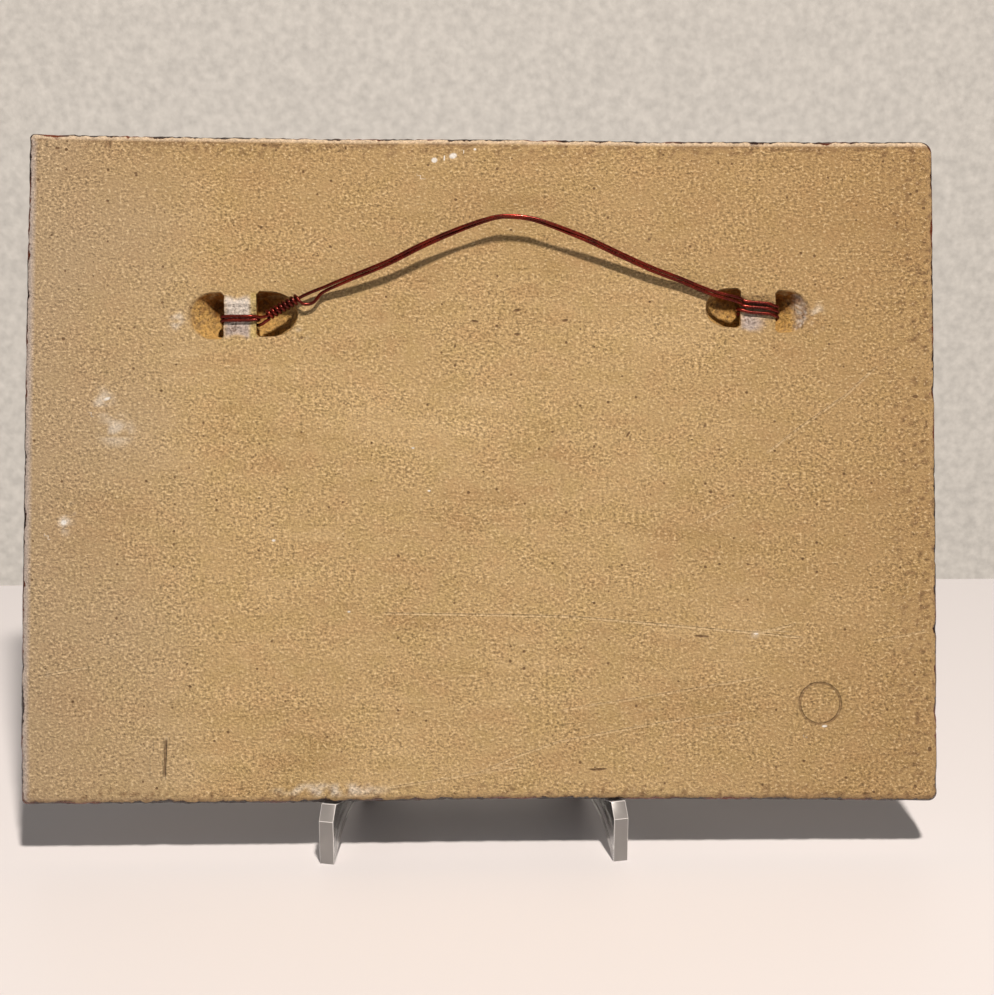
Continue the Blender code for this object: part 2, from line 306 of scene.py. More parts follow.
class Finish:
    """A material whose nodes are added a step at a time."""

    def __init__(self, name: str) -> None:
        """Starts a material.

        Args:
            name: Name of the material.
        """
        self.material = bpy.data.materials.new(name)
        self.material.use_nodes = True
        self.tree = self.material.node_tree
        self.shader = self.tree.nodes["Principled BSDF"]

    def feed(self, socket: Socket, value: object) -> None:
        """Links a socket to another, or sets its value.

        Args:
            socket: The input to feed.
            value: An output socket, or a plain value.
        """
        if isinstance(value, bpy.types.NodeSocket):
            self.tree.links.new(value, socket)
        else:
            socket.default_value = value

    def add(self, kind: str, inputs: dict[str | int, object] | None = None,
            **settings: object) -> bpy.types.Node:
        """Adds a node.

        Args:
            kind: Type of the node, without its prefix.
            inputs: Values or links for its inputs, by name or number.
            settings: Values of the node's own properties.

        Returns:
            The new node.
        """
        node = self.tree.nodes.new("ShaderNode" + kind)
        for name, value in settings.items():
            setattr(node, name, value)
        for name, value in (inputs or {}).items():
            self.feed(node.inputs[name], value)
        return node

    def surface(self, **values: object) -> None:
        """Feeds the shader's inputs, with _ for each space in a name."""
        for name, value in values.items():
            self.feed(self.shader.inputs[name.replace("_", " ")], value)

    def slab_point(self, stance: "Stance") -> Socket:
        """Slab coordinates in millimetres, from the object's own.

        Args:
            stance: Where the slab stands.

        Returns:
            A vector output.
        """
        place = self.add("TexCoord").outputs["Object"]
        mapping = self.add("Mapping", {"Vector": place, "Location": stance.centre(),
                                       "Rotation": stance.turn(), "Scale": (MM, MM, MM)},
                           vector_type="TEXTURE")
        return mapping.outputs["Vector"]

    def own_point(self) -> Socket:
        """The object's coordinates in millimetres."""
        place = self.add("TexCoord").outputs["Object"]
        return self.vector("SCALE", place, Scale=1 / MM)

    def vector(self, operation: str, first: object, second: object = None,
               **inputs: object) -> Socket:
        """A vector sum, and so on.

        Args:
            operation: Name of the operation.
            first: First vector.
            second: Second vector, where there is one.
            inputs: Further inputs by name.

        Returns:
            The result, a vector or a number.
        """
        values: dict[str | int, object] = {0: first, **inputs}
        if second is not None:
            values[1] = second
        node = self.add("VectorMath", values, operation=operation)
        number = operation in ("DOT_PRODUCT", "LENGTH", "DISTANCE")
        return node.outputs["Value" if number else "Vector"]

    def math(self, operation: str, first: object, second: object = 0.0,
             clamp: bool = False) -> Socket:
        """A sum, product and so on of two numbers.

        Args:
            operation: Name of the operation.
            first: First number.
            second: Second number.
            clamp: Whether the result is kept from 0 to 1.

        Returns:
            The result.
        """
        return self.add("Math", {0: first, 1: second}, operation=operation,
                        use_clamp=clamp).outputs[0]

    def total(self, *values: object) -> Socket:
        """Sum of several numbers."""
        result = values[0]
        for value in values[1:]:
            result = self.math("ADD", result, value)
        return result

    def band(self, value: object, low: float, high: float, start: float = 0.0,
             end: float = 1.0) -> Socket:
        """Smooth step from one value to another.

        Args:
            value: The number that is read.
            low: Where the step starts.
            high: Where the step ends.
            start: Result before the step.
            end: Result after the step.

        Returns:
            The result.
        """
        return self.add("MapRange", {"Value": value, "From Min": low, "From Max": high,
                                     "To Min": start, "To Max": end},
                        interpolation_type="SMOOTHSTEP").outputs[0]

    def noise(self, at: Socket, size: float | Sequence[float], detail: float = 2.0,
              roughness: float = 0.5, seed: float = 0.0, flat: bool = False) -> Socket:
        """Noise around 0.5.

        Args:
            at: Coordinates to read.
            size: Size of the lumps in those coordinates, one number or three.
            detail: Finer layers.
            roughness: Strength of the finer layers.
            seed: Moves the pattern.
            flat: Whether it varies in x and y alone.

        Returns:
            A number from 0 to 1.
        """
        sizes = (size, size, size) if isinstance(size, (int, float)) else tuple(size)
        scaled = self.add("Mapping", {"Vector": at, "Location": (seed, seed * 0.7, -seed),
                                      "Scale": tuple(1 / length for length in sizes)})
        return self.add("TexNoise", {"Vector": scaled.outputs[0], "Scale": 1.0, "Detail": detail,
                                     "Roughness": roughness},
                        noise_dimensions="2D" if flat else "3D").outputs[0]

    def cells(self, at: Socket, size: float, seed: float, flat: bool) -> tuple[Socket, Socket]:
        """Scattered cells.

        Args:
            at: Coordinates to read.
            size: Size of a cell in those coordinates.
            seed: Moves the pattern.
            flat: Whether it varies in x and y alone.

        Returns:
            Distance from the cell's middle in cells, and a number of its own for each cell.
        """
        scaled = self.add("Mapping", {"Vector": at, "Location": (seed, -seed, seed * 0.6),
                                      "Scale": (1 / size, 1 / size, 1 / size)})
        node = self.add("TexVoronoi", {"Vector": scaled.outputs[0], "Scale": 1.0},
                        voronoi_dimensions="2D" if flat else "3D")
        number = self.add("SeparateColor", {"Color": node.outputs["Color"]}).outputs[0]
        return node.outputs["Distance"], number

    def blend(self, share: object, first: object, second: object, mode: str = "MIX") -> Socket:
        """Mix of two colours.

        Args:
            share: Share of the second colour.
            first: First colour.
            second: Second colour.
            mode: How they are mixed.

        Returns:
            The mixed colour.
        """
        node = self.add("Mix", {0: share}, data_type="RGBA", blend_type=mode)
        for socket, value in ((node.inputs[6], first), (node.inputs[7], second)):
            self.feed(socket, value if isinstance(value, bpy.types.NodeSocket) else (*value, 1.0))
        return node.outputs[2]

    def bump(self, height: Socket, strength: float = 1.0) -> Socket:
        """Bump from a height in millimetres.

        Args:
            height: The height.
            strength: Share of it that is used.

        Returns:
            The normal.
        """
        return self.add("Bump", {"Height": height, "Strength": strength,
                                 "Distance": MM}).outputs[0]


# Where the slab stands


@dataclass(frozen=True)
class Stance:
    """The slab's place and lean in its easel, as in the part."""

    slab_height: float = 206.6
    slab_thickness: float = 13.0
    lean: float = math.radians(18.4)
    front_edge_round: float = 1.5
    sheet: float = 4.5
    toe_in: float = math.radians(12.5)
    ledge_height: float = 14.2
    ledge_lip: float = 3.4
    lip_rise: float = 4.3
    seat_gap: float = 0.3
    roll: float = math.radians(-0.53)
    rest_drop: float = 102.2
    shift: float = -0.145

    def corner_reach(self) -> float:
        """How far a sheet's corner stands in front of its middle, in millimetres."""
        return self.sheet / 2 * math.sin(self.toe_in)

    def toe_y(self) -> float:
        """Depth of the easel's toe, in millimetres."""
        reach = ((self.slab_height - self.front_edge_round) * math.sin(self.lean)
                 + (self.slab_thickness - self.front_edge_round) * math.cos(self.lean)
                 + self.front_edge_round)
        return self.corner_reach() - (self.corner_reach() + self.ledge_lip + reach) / 2

    def centre(self) -> Vector:
        """Middle of the slab's back face."""
        low = self.ledge_height + self.lip_rise + (self.seat_gap + self.corner_reach() * math.sin(self.lean)
                                   ) / math.cos(self.lean)
        return Vector((self.shift, self.toe_y() + self.ledge_lip + self.rest_drop * math.sin(self.lean),
                       low + self.rest_drop * math.cos(self.lean))) * MM

    def turn(self) -> Euler:
        """Turn from slab coordinates to the row's."""
        lean = Matrix.Rotation(math.pi / 2 - self.lean, 3, "X")
        return (lean @ Matrix.Rotation(self.roll, 3, "Z")).to_euler()

    def matrix(self) -> Matrix:
        """From slab coordinates in millimetres to the row's in metres."""
        return Matrix.LocRotScale(self.centre(), self.turn(), Vector((MM, MM, MM)))

    def stand(self, piece: bpy.types.Object) -> None:
        """Moves a mesh made in slab coordinates to its place."""
        piece.data.transform(self.matrix())
        piece.data.update()


# The clay and its marks


@dataclass(frozen=True)
class Stroke:
    """A groove along a line of points on the slab's back: its half width and depth."""

    points: tuple[tuple[float, float], ...]
    width: float = 0.3
    depth: float = 0.10


@dataclass(frozen=True)
class Smudge:
    """A soft patch on the slab's back: its middle, half sizes and strength."""

    middle: tuple[float, float]
    reach: tuple[float, float]
    strength: float = 1.0


@dataclass(frozen=True)
class Spot:
    """A small pit or speck on the slab's back: its middle, half sizes and the turn in degrees."""

    middle: tuple[float, float]
    reach: tuple[float, float] = (0.5, 0.45)
    turn: float = 0.0
    pale: bool = False


class Side(Enum):
    """Kinds of the slab's surfaces, with a material each."""

    BACK = "back"
    STAMP = "stamp"
    NOTCH = "notch"
    EDGE = "edge"
    FRONT = "front"


@dataclass(frozen=True)
class ClayPaint:
    """The bare clay's slow colours, worked out for each vertex of the slab."""

    clay: Point = (0.482, 0.335, 0.163)
    deep: Point = (0.335, 0.205, 0.085)
    pale: Point = (0.60, 0.435, 0.235)
    grey: Point = (0.40, 0.30, 0.19)
    blush: Point = (0.47, 0.26, 0.13)
    olive: Point = (0.40, 0.29, 0.105)
    painted_cool_light: Point = (0.46, 0.40, 0.375)
    painted_top_highlight: Point = (0.66, 0.52, 0.37)
    crease: Point = (0.16, 0.085, 0.04)
    ochre: Point = (0.53, 0.32, 0.10)
    stain_and_shade: Point = (0.225, 0.078, 0.009)
    strip: Point = (0.46, 0.34, 0.12)
    bridge_white: Point = (0.70, 0.64, 0.58)
    bridge_grey: Point = (0.43, 0.37, 0.36)
    chalk: Point = (0.74, 0.69, 0.62)
    chalk_smudges: tuple[Smudge, ...] = (
        Smudge((-116.4, 19.6), (4.0, 5.0), 0.65),
        Smudge((-112.5, 10.8), (6.0, 5.5), 0.6),
        Smudge((-127.6, -18.0), (2.6, 3.6), 0.9),
        Smudge((-125.0, -13.4), (2.0, 2.4), 0.7),
        Smudge((-130.6, -63.9), (2.4, 1.4), 0.6),
        Smudge((-46.0, -98.8), (19.0, 2.4), 0.8),
        Smudge((-94.3, 45.0), (2.6, 3.4), 0.8),
        Smudge((-56.0, 41.0), (3.0, 2.6), 0.6),
        Smudge((104.0, 47.0), (2.6, 5.5), 0.6),
        Smudge((84.4, -51.3), (2.4, 1.2), 0.5),
    )

    def _mixed(self, colours: np.ndarray, other: Point, share: np.ndarray) -> np.ndarray:
        """Colours moved towards another one.

        Args:
            colours: A row for each place.
            other: The other colour.
            share: Share of it at each place.

        Returns:
            The new colours.
        """
        return colours + (np.array(other) - colours) * np.clip(share, 0.0, 1.0)[:, None]

    def _step(self, values: np.ndarray, low: float, high: float) -> np.ndarray:
        """Smooth step from 0 to 1.

        Args:
            values: The numbers that are read.
            low: Where the result is 0.
            high: Where the result is 1.

        Returns:
            The result for each number.
        """
        t = np.clip((values - low) / (high - low), 0.0, 1.0)
        return t * t * (3.0 - 2.0 * t)

    def _patch(self, places: np.ndarray, smudge: Smudge) -> np.ndarray:
        """Strength of a smudge at each place.

        Args:
            places: A row for each place.
            smudge: The smudge.

        Returns:
            One value for each place.
        """
        off = (places[:, :2] - np.array(smudge.middle)) / np.array(smudge.reach)
        return smudge.strength * self._step(np.hypot(off[:, 0], off[:, 1]), 1.2, 0.2)

    def colours(self, places: np.ndarray, plaque: "Plaque") -> np.ndarray:
        """Colour of the clay at each place, with its painted light and shade.

        Args:
            places: A row for each place, in slab coordinates.
            plaque: The slab, for its sizes and notches.

        Returns:
            Red, green and blue for each place.
        """
        x, y, _ = places.T
        clouds = noise_at(places, (36.0, 30.0, 30.0), 5.1)
        streaks = noise_at(places, (22.0, 4.2, 6.0), 3.3) + 0.5 * noise_at(places, (9.0, 2.2, 3.0), 8.3)
        patches = noise_at(places, (8.5, 6.0, 6.0), 12.7)
        mottle = noise_at(places, (3.4, 2.6, 2.6), 17.9)
        tone = 0.55 * clouds + 0.45 * streaks + 0.30 * mottle
        broken = self._step(mottle + 0.6 * streaks, -0.25, 0.30)
        layers = [
            (self.deep, 0.42 * self._step(tone, -0.05, -0.60)),
            (self.pale, 0.40 * self._step(tone, 0.05, 0.60)),
            (self.blush, 0.15 * self._step(patches - 0.3 * clouds, 0.12, 0.45)),
            (self.olive, 0.20 * self._step(patches, -0.10, -0.42)),
            # Painted shade: darker towards the right and towards the top, where the light falls off.
            (self.deep, 0.52 * self._step(x, 20.0, 150.0)),
            (self.deep, 0.36 * self._step(y, 20.0, 105.0)),
            (self.grey, 0.75 * self._step(-x + 18.0 * clouds, 78.0, 136.0)),
        ]
        layers += [(self.chalk, 0.8 * broken * self._patch(places, smudge)) for smudge in self.chalk_smudges]
        colours = np.tile(np.array(self.clay), (len(places), 1))
        for other, share in layers:
            colours = self._mixed(colours, other, share)
        colours = self._edges(colours, places, plaque, mottle, streaks)
        for bridge in plaque.bridges:
            colours = self._notches(colours, places, bridge, mottle)
        return colours

    def grain(self, places: np.ndarray) -> np.ndarray:
        """Strength of the fine grain at each place, around 1."""
        broad = noise_at(places, (13.0, 9.0, 9.0), 27.3)
        small = noise_at(places, (4.5, 3.2, 3.2), 33.1)
        return np.clip(1.0 + 0.8 * broad + 0.6 * small, 0.35, 1.8)

    def _edges(self, colours: np.ndarray, places: np.ndarray, plaque: "Plaque", mottle: np.ndarray,
               streaks: np.ndarray) -> np.ndarray:
        """Painted light on the edges and the rougher right side: a painted highlight on the top edge, painted
        shade along the crease below it and painted cool window light on the left edge's rounding.
        """
        x, y, _ = places.T
        across, up = x / plaque.width + 0.5, y / plaque.height + 0.5
        from_top = plaque.height / 2 - y - read_pairs(plaque.dip_top, across)
        from_bottom = plaque.height / 2 + y - read_pairs(plaque.dip_bottom, across)
        from_left = plaque.width / 2 + x - read_pairs(plaque.dip_left, up)
        from_right = plaque.width / 2 - x - read_pairs(plaque.dip_right, up)
        crumbs = noise_at(places, (1.8, 1.5, 1.8), 71.0)
        # Painted light: the left edge's rounding, which faces the cool window light, is painted
        # grey-lavender.
        colours = self._mixed(colours, self.painted_cool_light, 0.75 * self._step(from_left, 2.6, 1.6))
        # Painted highlight: the top edge's rounding, which faces up to the light, is painted pale.
        colours = self._mixed(colours, self.painted_top_highlight, 0.85 * self._step(from_top, 2.1, 1.4))
        # Painted shade: a dark line along the crease below the top edge, broken by the mottle.
        crease = np.exp(-(((from_top - 2.3 - 0.25 * streaks) / 0.65) ** 2))
        colours = self._mixed(colours, self.crease, 0.8 * crease * self._step(mottle + streaks, -0.5, 0.4))
        rough = np.maximum(self._step(from_top, 9.0, 3.0), self._step(from_right, 22.0, 4.0))
        rough = np.maximum(rough, self._step(from_bottom, 7.0, 2.5)) * (from_top > 2.0)
        specks = rough * self._step(crumbs + 0.4 * mottle, 0.14, 0.48)
        colours = self._mixed(colours, self.crease, 0.70 * specks)
        return self._mixed(colours, self.crease, 0.3 * self._step(from_bottom, 2.4, 1.2))

    def _notches(self, colours: np.ndarray, places: np.ndarray, bridge: "Bridge",
                 mottle: np.ndarray) -> np.ndarray:
        """Ochre walls in a pair of notches, with dark stain and painted shade in their upper parts and
        painted shade along the rim above them, and a chalky bridge between them.

        Args:
            colours: Colour at each place so far.
            places: A row for each place.
            bridge: The bridge, with its notches.
            mottle: Small patches at each place.

        Returns:
            The new colours.
        """
        x, y, z = places.T
        low = min(scoop.middle - scoop.height / 2 for scoop in bridge.scoops)
        high = max(scoop.middle + scoop.height / 2 for scoop in bridge.scoops)
        near = np.abs(x - bridge.x) < bridge.width / 2 + 14.5
        near &= (y > low - 3.0) & (y < high + 3.0)
        inside = near * self._step(z, -0.35, -1.3)
        crumbs = noise_at(places, (1.7, 1.7, 1.7), 41.0)
        up = (y - low) / (high - low) + 0.16 * mottle
        colours = self._mixed(colours, self.ochre, 0.95 * inside)
        toward = 1.0 - np.abs(np.abs(x - bridge.x) - bridge.width / 2) / 11.0
        # Dark stain and painted shade: the upper part of each notch, more so towards the bridge, is painted
        # dark red-brown where the rim's shadow falls.
        stained_and_shaded = self._step(up + 0.42 * toward + 0.24 * crumbs, 0.72, 1.02)
        colours = self._mixed(colours, self.stain_and_shade, 0.95 * inside * stained_and_shaded)
        crumbly = inside * self._step(crumbs - 0.5 * toward, -0.25, 0.15)
        colours = self._mixed(colours, self.deep, 0.75 * crumbly)
        # Painted shade: the rim along the notch's upper part is darkened.
        rim = near * self._step(z, -0.05, -0.5) * (1.0 - inside)
        colours = self._mixed(colours, self.deep, 0.6 * rim * self._step(up, 0.55, 0.85))
        face = near * self._step(np.abs(x - bridge.x), bridge.width / 2 + 0.5, bridge.width / 2 - 0.9)
        face *= self._step(z, -1.9, -1.2)
        over_wire = bridge.wire_y
        if bridge.x < 0.0:
            white = self._step(y + 0.8 * mottle, over_wire - 2.2, over_wire + 0.2)
            white *= self._step(y + 1.2 * mottle, high - 0.8, high - 3.6)
            below = self._step(y + 1.2 * mottle, low + 0.3, low + 2.0)
            below *= self._step(y, over_wire + 0.6, over_wire - 1.0)
        else:
            white = 0.25 * self._step(np.abs(y - over_wire), 3.6, 1.2)
            below = self._step(y + 2.0 * mottle, low, low + 1.8) * self._step(y, over_wire, over_wire - 2.0)
            below *= self._step(x + 2.0 * mottle, bridge.x + 3.0, bridge.x - 2.0)
        colours = self._mixed(colours, self.bridge_grey, 0.80 * face * below)
        colours = self._mixed(colours, self.bridge_white, 0.92 * face * white)
        if bridge.x > 0.0:
            dusted = inside * self._step(x - bridge.x, bridge.width / 2 + 5.0, bridge.width / 2 + 8.5)
            grit = noise_at(places, (0.7, 0.6, 0.7), 83.0)
            colours = self._mixed(colours, self.bridge_grey, 0.5 * dusted)
            colours = self._mixed(colours, self.chalk, 0.5 * dusted * self._step(grit, 0.05, 0.25))
            return self._mixed(colours, self.crease, 0.75 * dusted * self._step(grit, 0.0, -0.25))
        strip = self._step(x - bridge.x + 0.3 * mottle, bridge.width / 2 - 2.2, bridge.width / 2 - 1.4)
        strip *= self._step(y, low, low + 1.2) * self._step(y, high, high - 1.2)
        return self._mixed(colours, self.strip, 0.85 * near * strip * self._step(z, -1.9, -1.2)
                           * self._step(x, bridge.x + bridge.width / 2 + 0.6, bridge.x + bridge.width / 2))


@dataclass(frozen=True)
class StonewareFinish:
    """Unglazed grogged clay on the back, and dark iron glaze on the front and the sides."""

    stance: Stance
    fleck: Point = (0.80, 0.66, 0.43)
    pit: Point = (0.115, 0.058, 0.028)
    speck: Point = (0.86, 0.84, 0.80)
    scratch: Point = (0.68, 0.52, 0.32)
    glaze: Point = (0.020, 0.009, 0.006)
    glaze_rust: Point = (0.15, 0.036, 0.014)
    grain_size: float = 0.72
    worm_size: tuple[float, float, float] = (1.15, 0.78, 0.9)
    pit_size: float = 4.3
    clay_roughness: float = 0.92
    clay_specular: float = 0.25
    glaze_roughness: float = 0.26
    glaze_bead: float = 0.12
    front_half: tuple[float, float] = (140.8, 103.3)
    border_step: float = 13.2
    comb_crest: tuple[float, float] = (-12.05, -12.35)
    stamp_middle: tuple[float, float] = (104.1, -72.5)
    stamp_radius: float = 6.3
    stamp_strokes: tuple[Stroke, ...] = (
        Stroke(((101.2, -69.6), (106.8, -69.9)), 0.34, 0.12),
        Stroke(((100.9, -72.0), (103.6, -72.1)), 0.34, 0.12),
        Stroke(((105.0, -72.2), (107.4, -72.4)), 0.34, 0.12),
        Stroke(((101.6, -74.6), (106.6, -74.9)), 0.34, 0.12),
    )

    def make(self, side: "Side") -> bpy.types.Material:
        """The material of one kind of the slab's surfaces.

        Args:
            side: Which surfaces it is for.

        Returns:
            The material.
        """
        f = Finish("stoneware_" + side.value)
        at = f.slab_point(self.stance)
        if side is Side.FRONT:
            self._dress_front(f, at)
        elif side is Side.EDGE:
            self._dress_edge(f, at)
        elif side is Side.NOTCH:
            self._dress_notch(f, at)
        else:
            self._dress_back(f, at, side is Side.STAMP)
        return f.material

    def _painted(self, f: Finish) -> Socket:
        """The clay's slow colour, from the slab's own attribute."""
        return f.add("Attribute", attribute_name=PAINT).outputs["Color"]

    def _shaded(self, f: Finish, colour: Socket, tone: Socket, spread: float) -> Socket:
        """A colour made lighter or darker by a tone around 0.5.

        Args:
            f: The material.
            colour: The colour.
            tone: The tone.
            spread: Change of the colour from tone 0 to 1, as a share.

        Returns:
            The new colour.
        """
        factor = f.add("MapRange", {"Value": tone, "From Min": 0.25, "From Max": 0.75,
                                    "To Min": 1.0 - spread / 2, "To Max": 1.0 + spread / 2})
        return f.vector("SCALE", colour, Scale=factor.outputs[0])

    def _dress_back(self, f: Finish, at: Socket, stamped: bool) -> None:
        """Grogged clay with wormy flecks, pits, specks and scratches.

        Args:
            f: The material.
            at: Slab coordinates.
            stamped: Whether the round stamp is in it.
        """
        flat = f.vector("MULTIPLY", at, (1.0, 1.0, 0.0))
        grain = f.noise(flat, self.grain_size, 3.0, 0.62, 1.0, True)
        worms = f.noise(flat, self.worm_size, 1.0, 0.5, 11.0, True)
        tone = f.math("ADD", f.math("MULTIPLY", grain, 0.55), f.math("MULTIPLY", worms, 0.45))
        strength = f.add("Attribute", attribute_name=PAINT).outputs["Alpha"]
        tone = f.math("ADD", f.math("MULTIPLY", f.math("SUBTRACT", tone, 0.5), strength), 0.5)
        colour = self._shaded(f, self._painted(f), tone, 1.0)
        flecks = f.math("MULTIPLY", f.band(worms, 0.57, 0.68), f.band(grain, 0.48, 0.62))
        colour = f.blend(f.math("MULTIPLY", flecks, 0.42), colour, self.fleck)
        distance, number = f.cells(flat, self.pit_size, 2.0, True)
        radius = f.add("MapRange", {"Value": number, "From Min": 0.0, "From Max": 0.14,
                                    "To Min": 0.115, "To Max": 0.0}).outputs[0]
        pits = f.band(f.math("SUBTRACT", distance, radius), 0.025, -0.045)
        off = f.add("Attribute", attribute_name=SPOT_OFF).outputs["Vector"]
        axes = f.add("SeparateXYZ", {0: off})
        marked = f.band(f.vector("LENGTH", f.vector("MULTIPLY", off, (1.0, 1.0, 0.0))), 1.15, 0.6)
        pale = f.band(axes.outputs[2], -0.1, 0.1)
        pits = f.math("MAXIMUM", pits, f.math("MULTIPLY", marked, f.math("SUBTRACT", 1.0, pale)))
        colour = f.blend(f.math("MULTIPLY", pits, 0.80), colour, self.pit)
        colour = f.blend(f.math("MULTIPLY", f.math("MULTIPLY", marked, pale), 0.85), colour, self.speck)
        lines, painted_groove_shade, scratches = self._scratches(f)
        colour = f.blend(f.math("MULTIPLY", lines, f.band(tone, 0.38, 0.56)), colour, self.scratch)
        # Painted shade: where a scratch is deep, its groove is darkened with the pit colour.
        colour = f.blend(painted_groove_shade, colour, self.pit)
        height = f.total(f.math("MULTIPLY", grain, 0.46), f.math("MULTIPLY", worms, 0.26),
                         f.math("MULTIPLY", pits, -0.22), scratches)
        if stamped:
            ring = self._ring(f, flat)
            # Painted shade: the stamp's groove is darkened with the pit colour.
            colour = f.blend(f.band(ring, -0.25, -0.5, 0.0, 0.45), colour, self.pit)
            height = f.total(height, ring,
                             *(self._stroke_height(f, flat, stroke) for stroke in self.stamp_strokes))
        f.surface(Base_Color=colour, Roughness=self.clay_roughness, Normal=f.bump(height),
                  Specular_IOR_Level=self.clay_specular)

    def _scratches(self, f: Finish) -> tuple[Socket, Socket, Socket]:
        """The long scratches, from the slab's own attributes.

        Returns:
            Share of their pale colour, share of the dark one where they are deep, which is painted shade, and
            their height.
        """
        across = f.add("Attribute", attribute_name=SCRATCH_ACROSS).outputs["Fac"]
        depth = f.add("Attribute", attribute_name=SCRATCH_DEPTH).outputs["Fac"]
        off = f.math("ABSOLUTE", across)
        groove = f.band(off, 1.0, 0.3, 0.0, -1.0)
        burr = f.math("MULTIPLY", f.band(off, 0.8, 1.3), f.band(off, 2.4, 1.3, 0.0, 0.7))
        height = f.math("MULTIPLY", f.math("ADD", groove, burr), depth)
        pale = f.math("MULTIPLY", f.band(off, 2.0, 0.8, 0.0, 4.0), depth, True)
        deep = f.band(depth, 0.2, 0.35)
        return (f.math("MULTIPLY", pale, f.math("SUBTRACT", 1.0, deep)),
                f.math("MULTIPLY", f.band(off, 1.4, 0.5, 0.0, 0.6), deep), height)

    def _stroke_height(self, f: Finish, flat: Socket, stroke: Stroke) -> Socket:
        """Height of a short straight groove.

        Args:
            f: The material.
            flat: Slab coordinates with no depth.
            stroke: The groove.

        Returns:
            Height in millimetres, below 0 in the groove.
        """
        start, end = (Vector((*point, 0.0)) for point in stroke.points)
        turn = math.atan2(end.y - start.y, end.x - start.x)
        mapping = f.add("Mapping", {"Vector": flat, "Location": (start + end) / 2,
                                    "Rotation": (0.0, 0.0, turn)}, vector_type="TEXTURE")
        axes = f.add("SeparateXYZ", {0: mapping.outputs[0]})
        half = (end - start).length / 2
        beside = f.band(f.math("ABSOLUTE", axes.outputs[1]), stroke.width, stroke.width * 0.35)
        within = f.band(f.math("ABSOLUTE", axes.outputs[0]), half, half - stroke.width)
        return f.math("MULTIPLY", f.math("MULTIPLY", beside, within), -stroke.depth)

    def _ring(self, f: Finish, flat: Socket) -> Socket:
        """Height of the round stamp: a thin groove round a field that stands a little low.

        Args:
            f: The material.
            flat: Slab coordinates with no depth.

        Returns:
            Height in millimetres.
        """
        away = f.vector("DISTANCE", flat, Vector((*self.stamp_middle, 0.0)))
        off = f.math("ABSOLUTE", f.math("SUBTRACT", away, self.stamp_radius))
        groove = f.band(off, 0.20, 0.50, -0.55, 0.0)
        field_low = f.band(away, self.stamp_radius + 0.5, self.stamp_radius - 0.6, 0.0, -0.10)
        rim = f.math("MULTIPLY", f.band(away, self.stamp_radius + 0.3, self.stamp_radius + 0.8),
                     f.band(away, self.stamp_radius + 2.4, self.stamp_radius + 0.8, 0.0, 0.10))
        return f.total(groove, field_low, rim)

    def _dress_notch(self, f: Finish, at: Socket) -> None:
        """Crumbly clay in the notches and on the bridges.

        Args:
            f: The material.
            at: Slab coordinates.
        """
        crumbs = f.noise(at, 0.9, 4.0, 0.68, 47.0)
        lumps = f.noise(at, 2.1, 2.0, 0.6, 29.0)
        colour = self._shaded(f, self._painted(f), crumbs, 1.5)
        dark = f.math("MULTIPLY", f.band(lumps, 0.56, 0.68), f.band(crumbs, 0.55, 0.44))
        colour = f.blend(f.math("MULTIPLY", dark, 0.7), colour, self.pit)
        height = f.math("ADD", f.math("MULTIPLY", crumbs, 0.75), f.math("MULTIPLY", lumps, 0.5))
        f.surface(Base_Color=colour, Roughness=self.clay_roughness, Normal=f.bump(height),
                  Specular_IOR_Level=self.clay_specular)

    def _dress_edge(self, f: Finish, at: Socket) -> None:
        """Clay on the rounded back edge, and glaze below a ragged line on the sides.

        Args:
            f: The material.
            at: Slab coordinates.
        """
        grain = f.noise(at, self.grain_size, 3.0, 0.62, 1.0)
        ragged = f.noise(at, 4.2, 4.0, 0.66, 23.0)
        flashes = f.noise(at, 21.0, 1.0, 0.5, 61.0)
        colour = self._shaded(f, self._painted(f), grain, 0.85)
        z = f.add("SeparateXYZ", {0: at}).outputs[2]
        level = f.math("ADD", z, f.math("MULTIPLY", ragged, 2.2))
        glazed = f.band(level, 0.62, 0.34)
        rust = f.math("MULTIPLY", f.band(level, -1.7, 0.0), f.band(flashes, 0.50, 0.62))
        rust = f.math("MAXIMUM", rust, f.band(level, 0.2, 0.6, 0.0, 0.4))
        colour = f.blend(glazed, colour, f.blend(rust, self.glaze, self.glaze_rust))
        height = f.math("MULTIPLY", f.math("MULTIPLY", grain, 0.5), f.math("SUBTRACT", 1.0, glazed))
        f.surface(Base_Color=colour,
                  Roughness=f.band(glazed, 0.0, 1.0, self.clay_roughness, self.glaze_roughness),
                  Normal=f.bump(f.math("ADD", height, f.math("MULTIPLY", glazed, self.glaze_bead))))

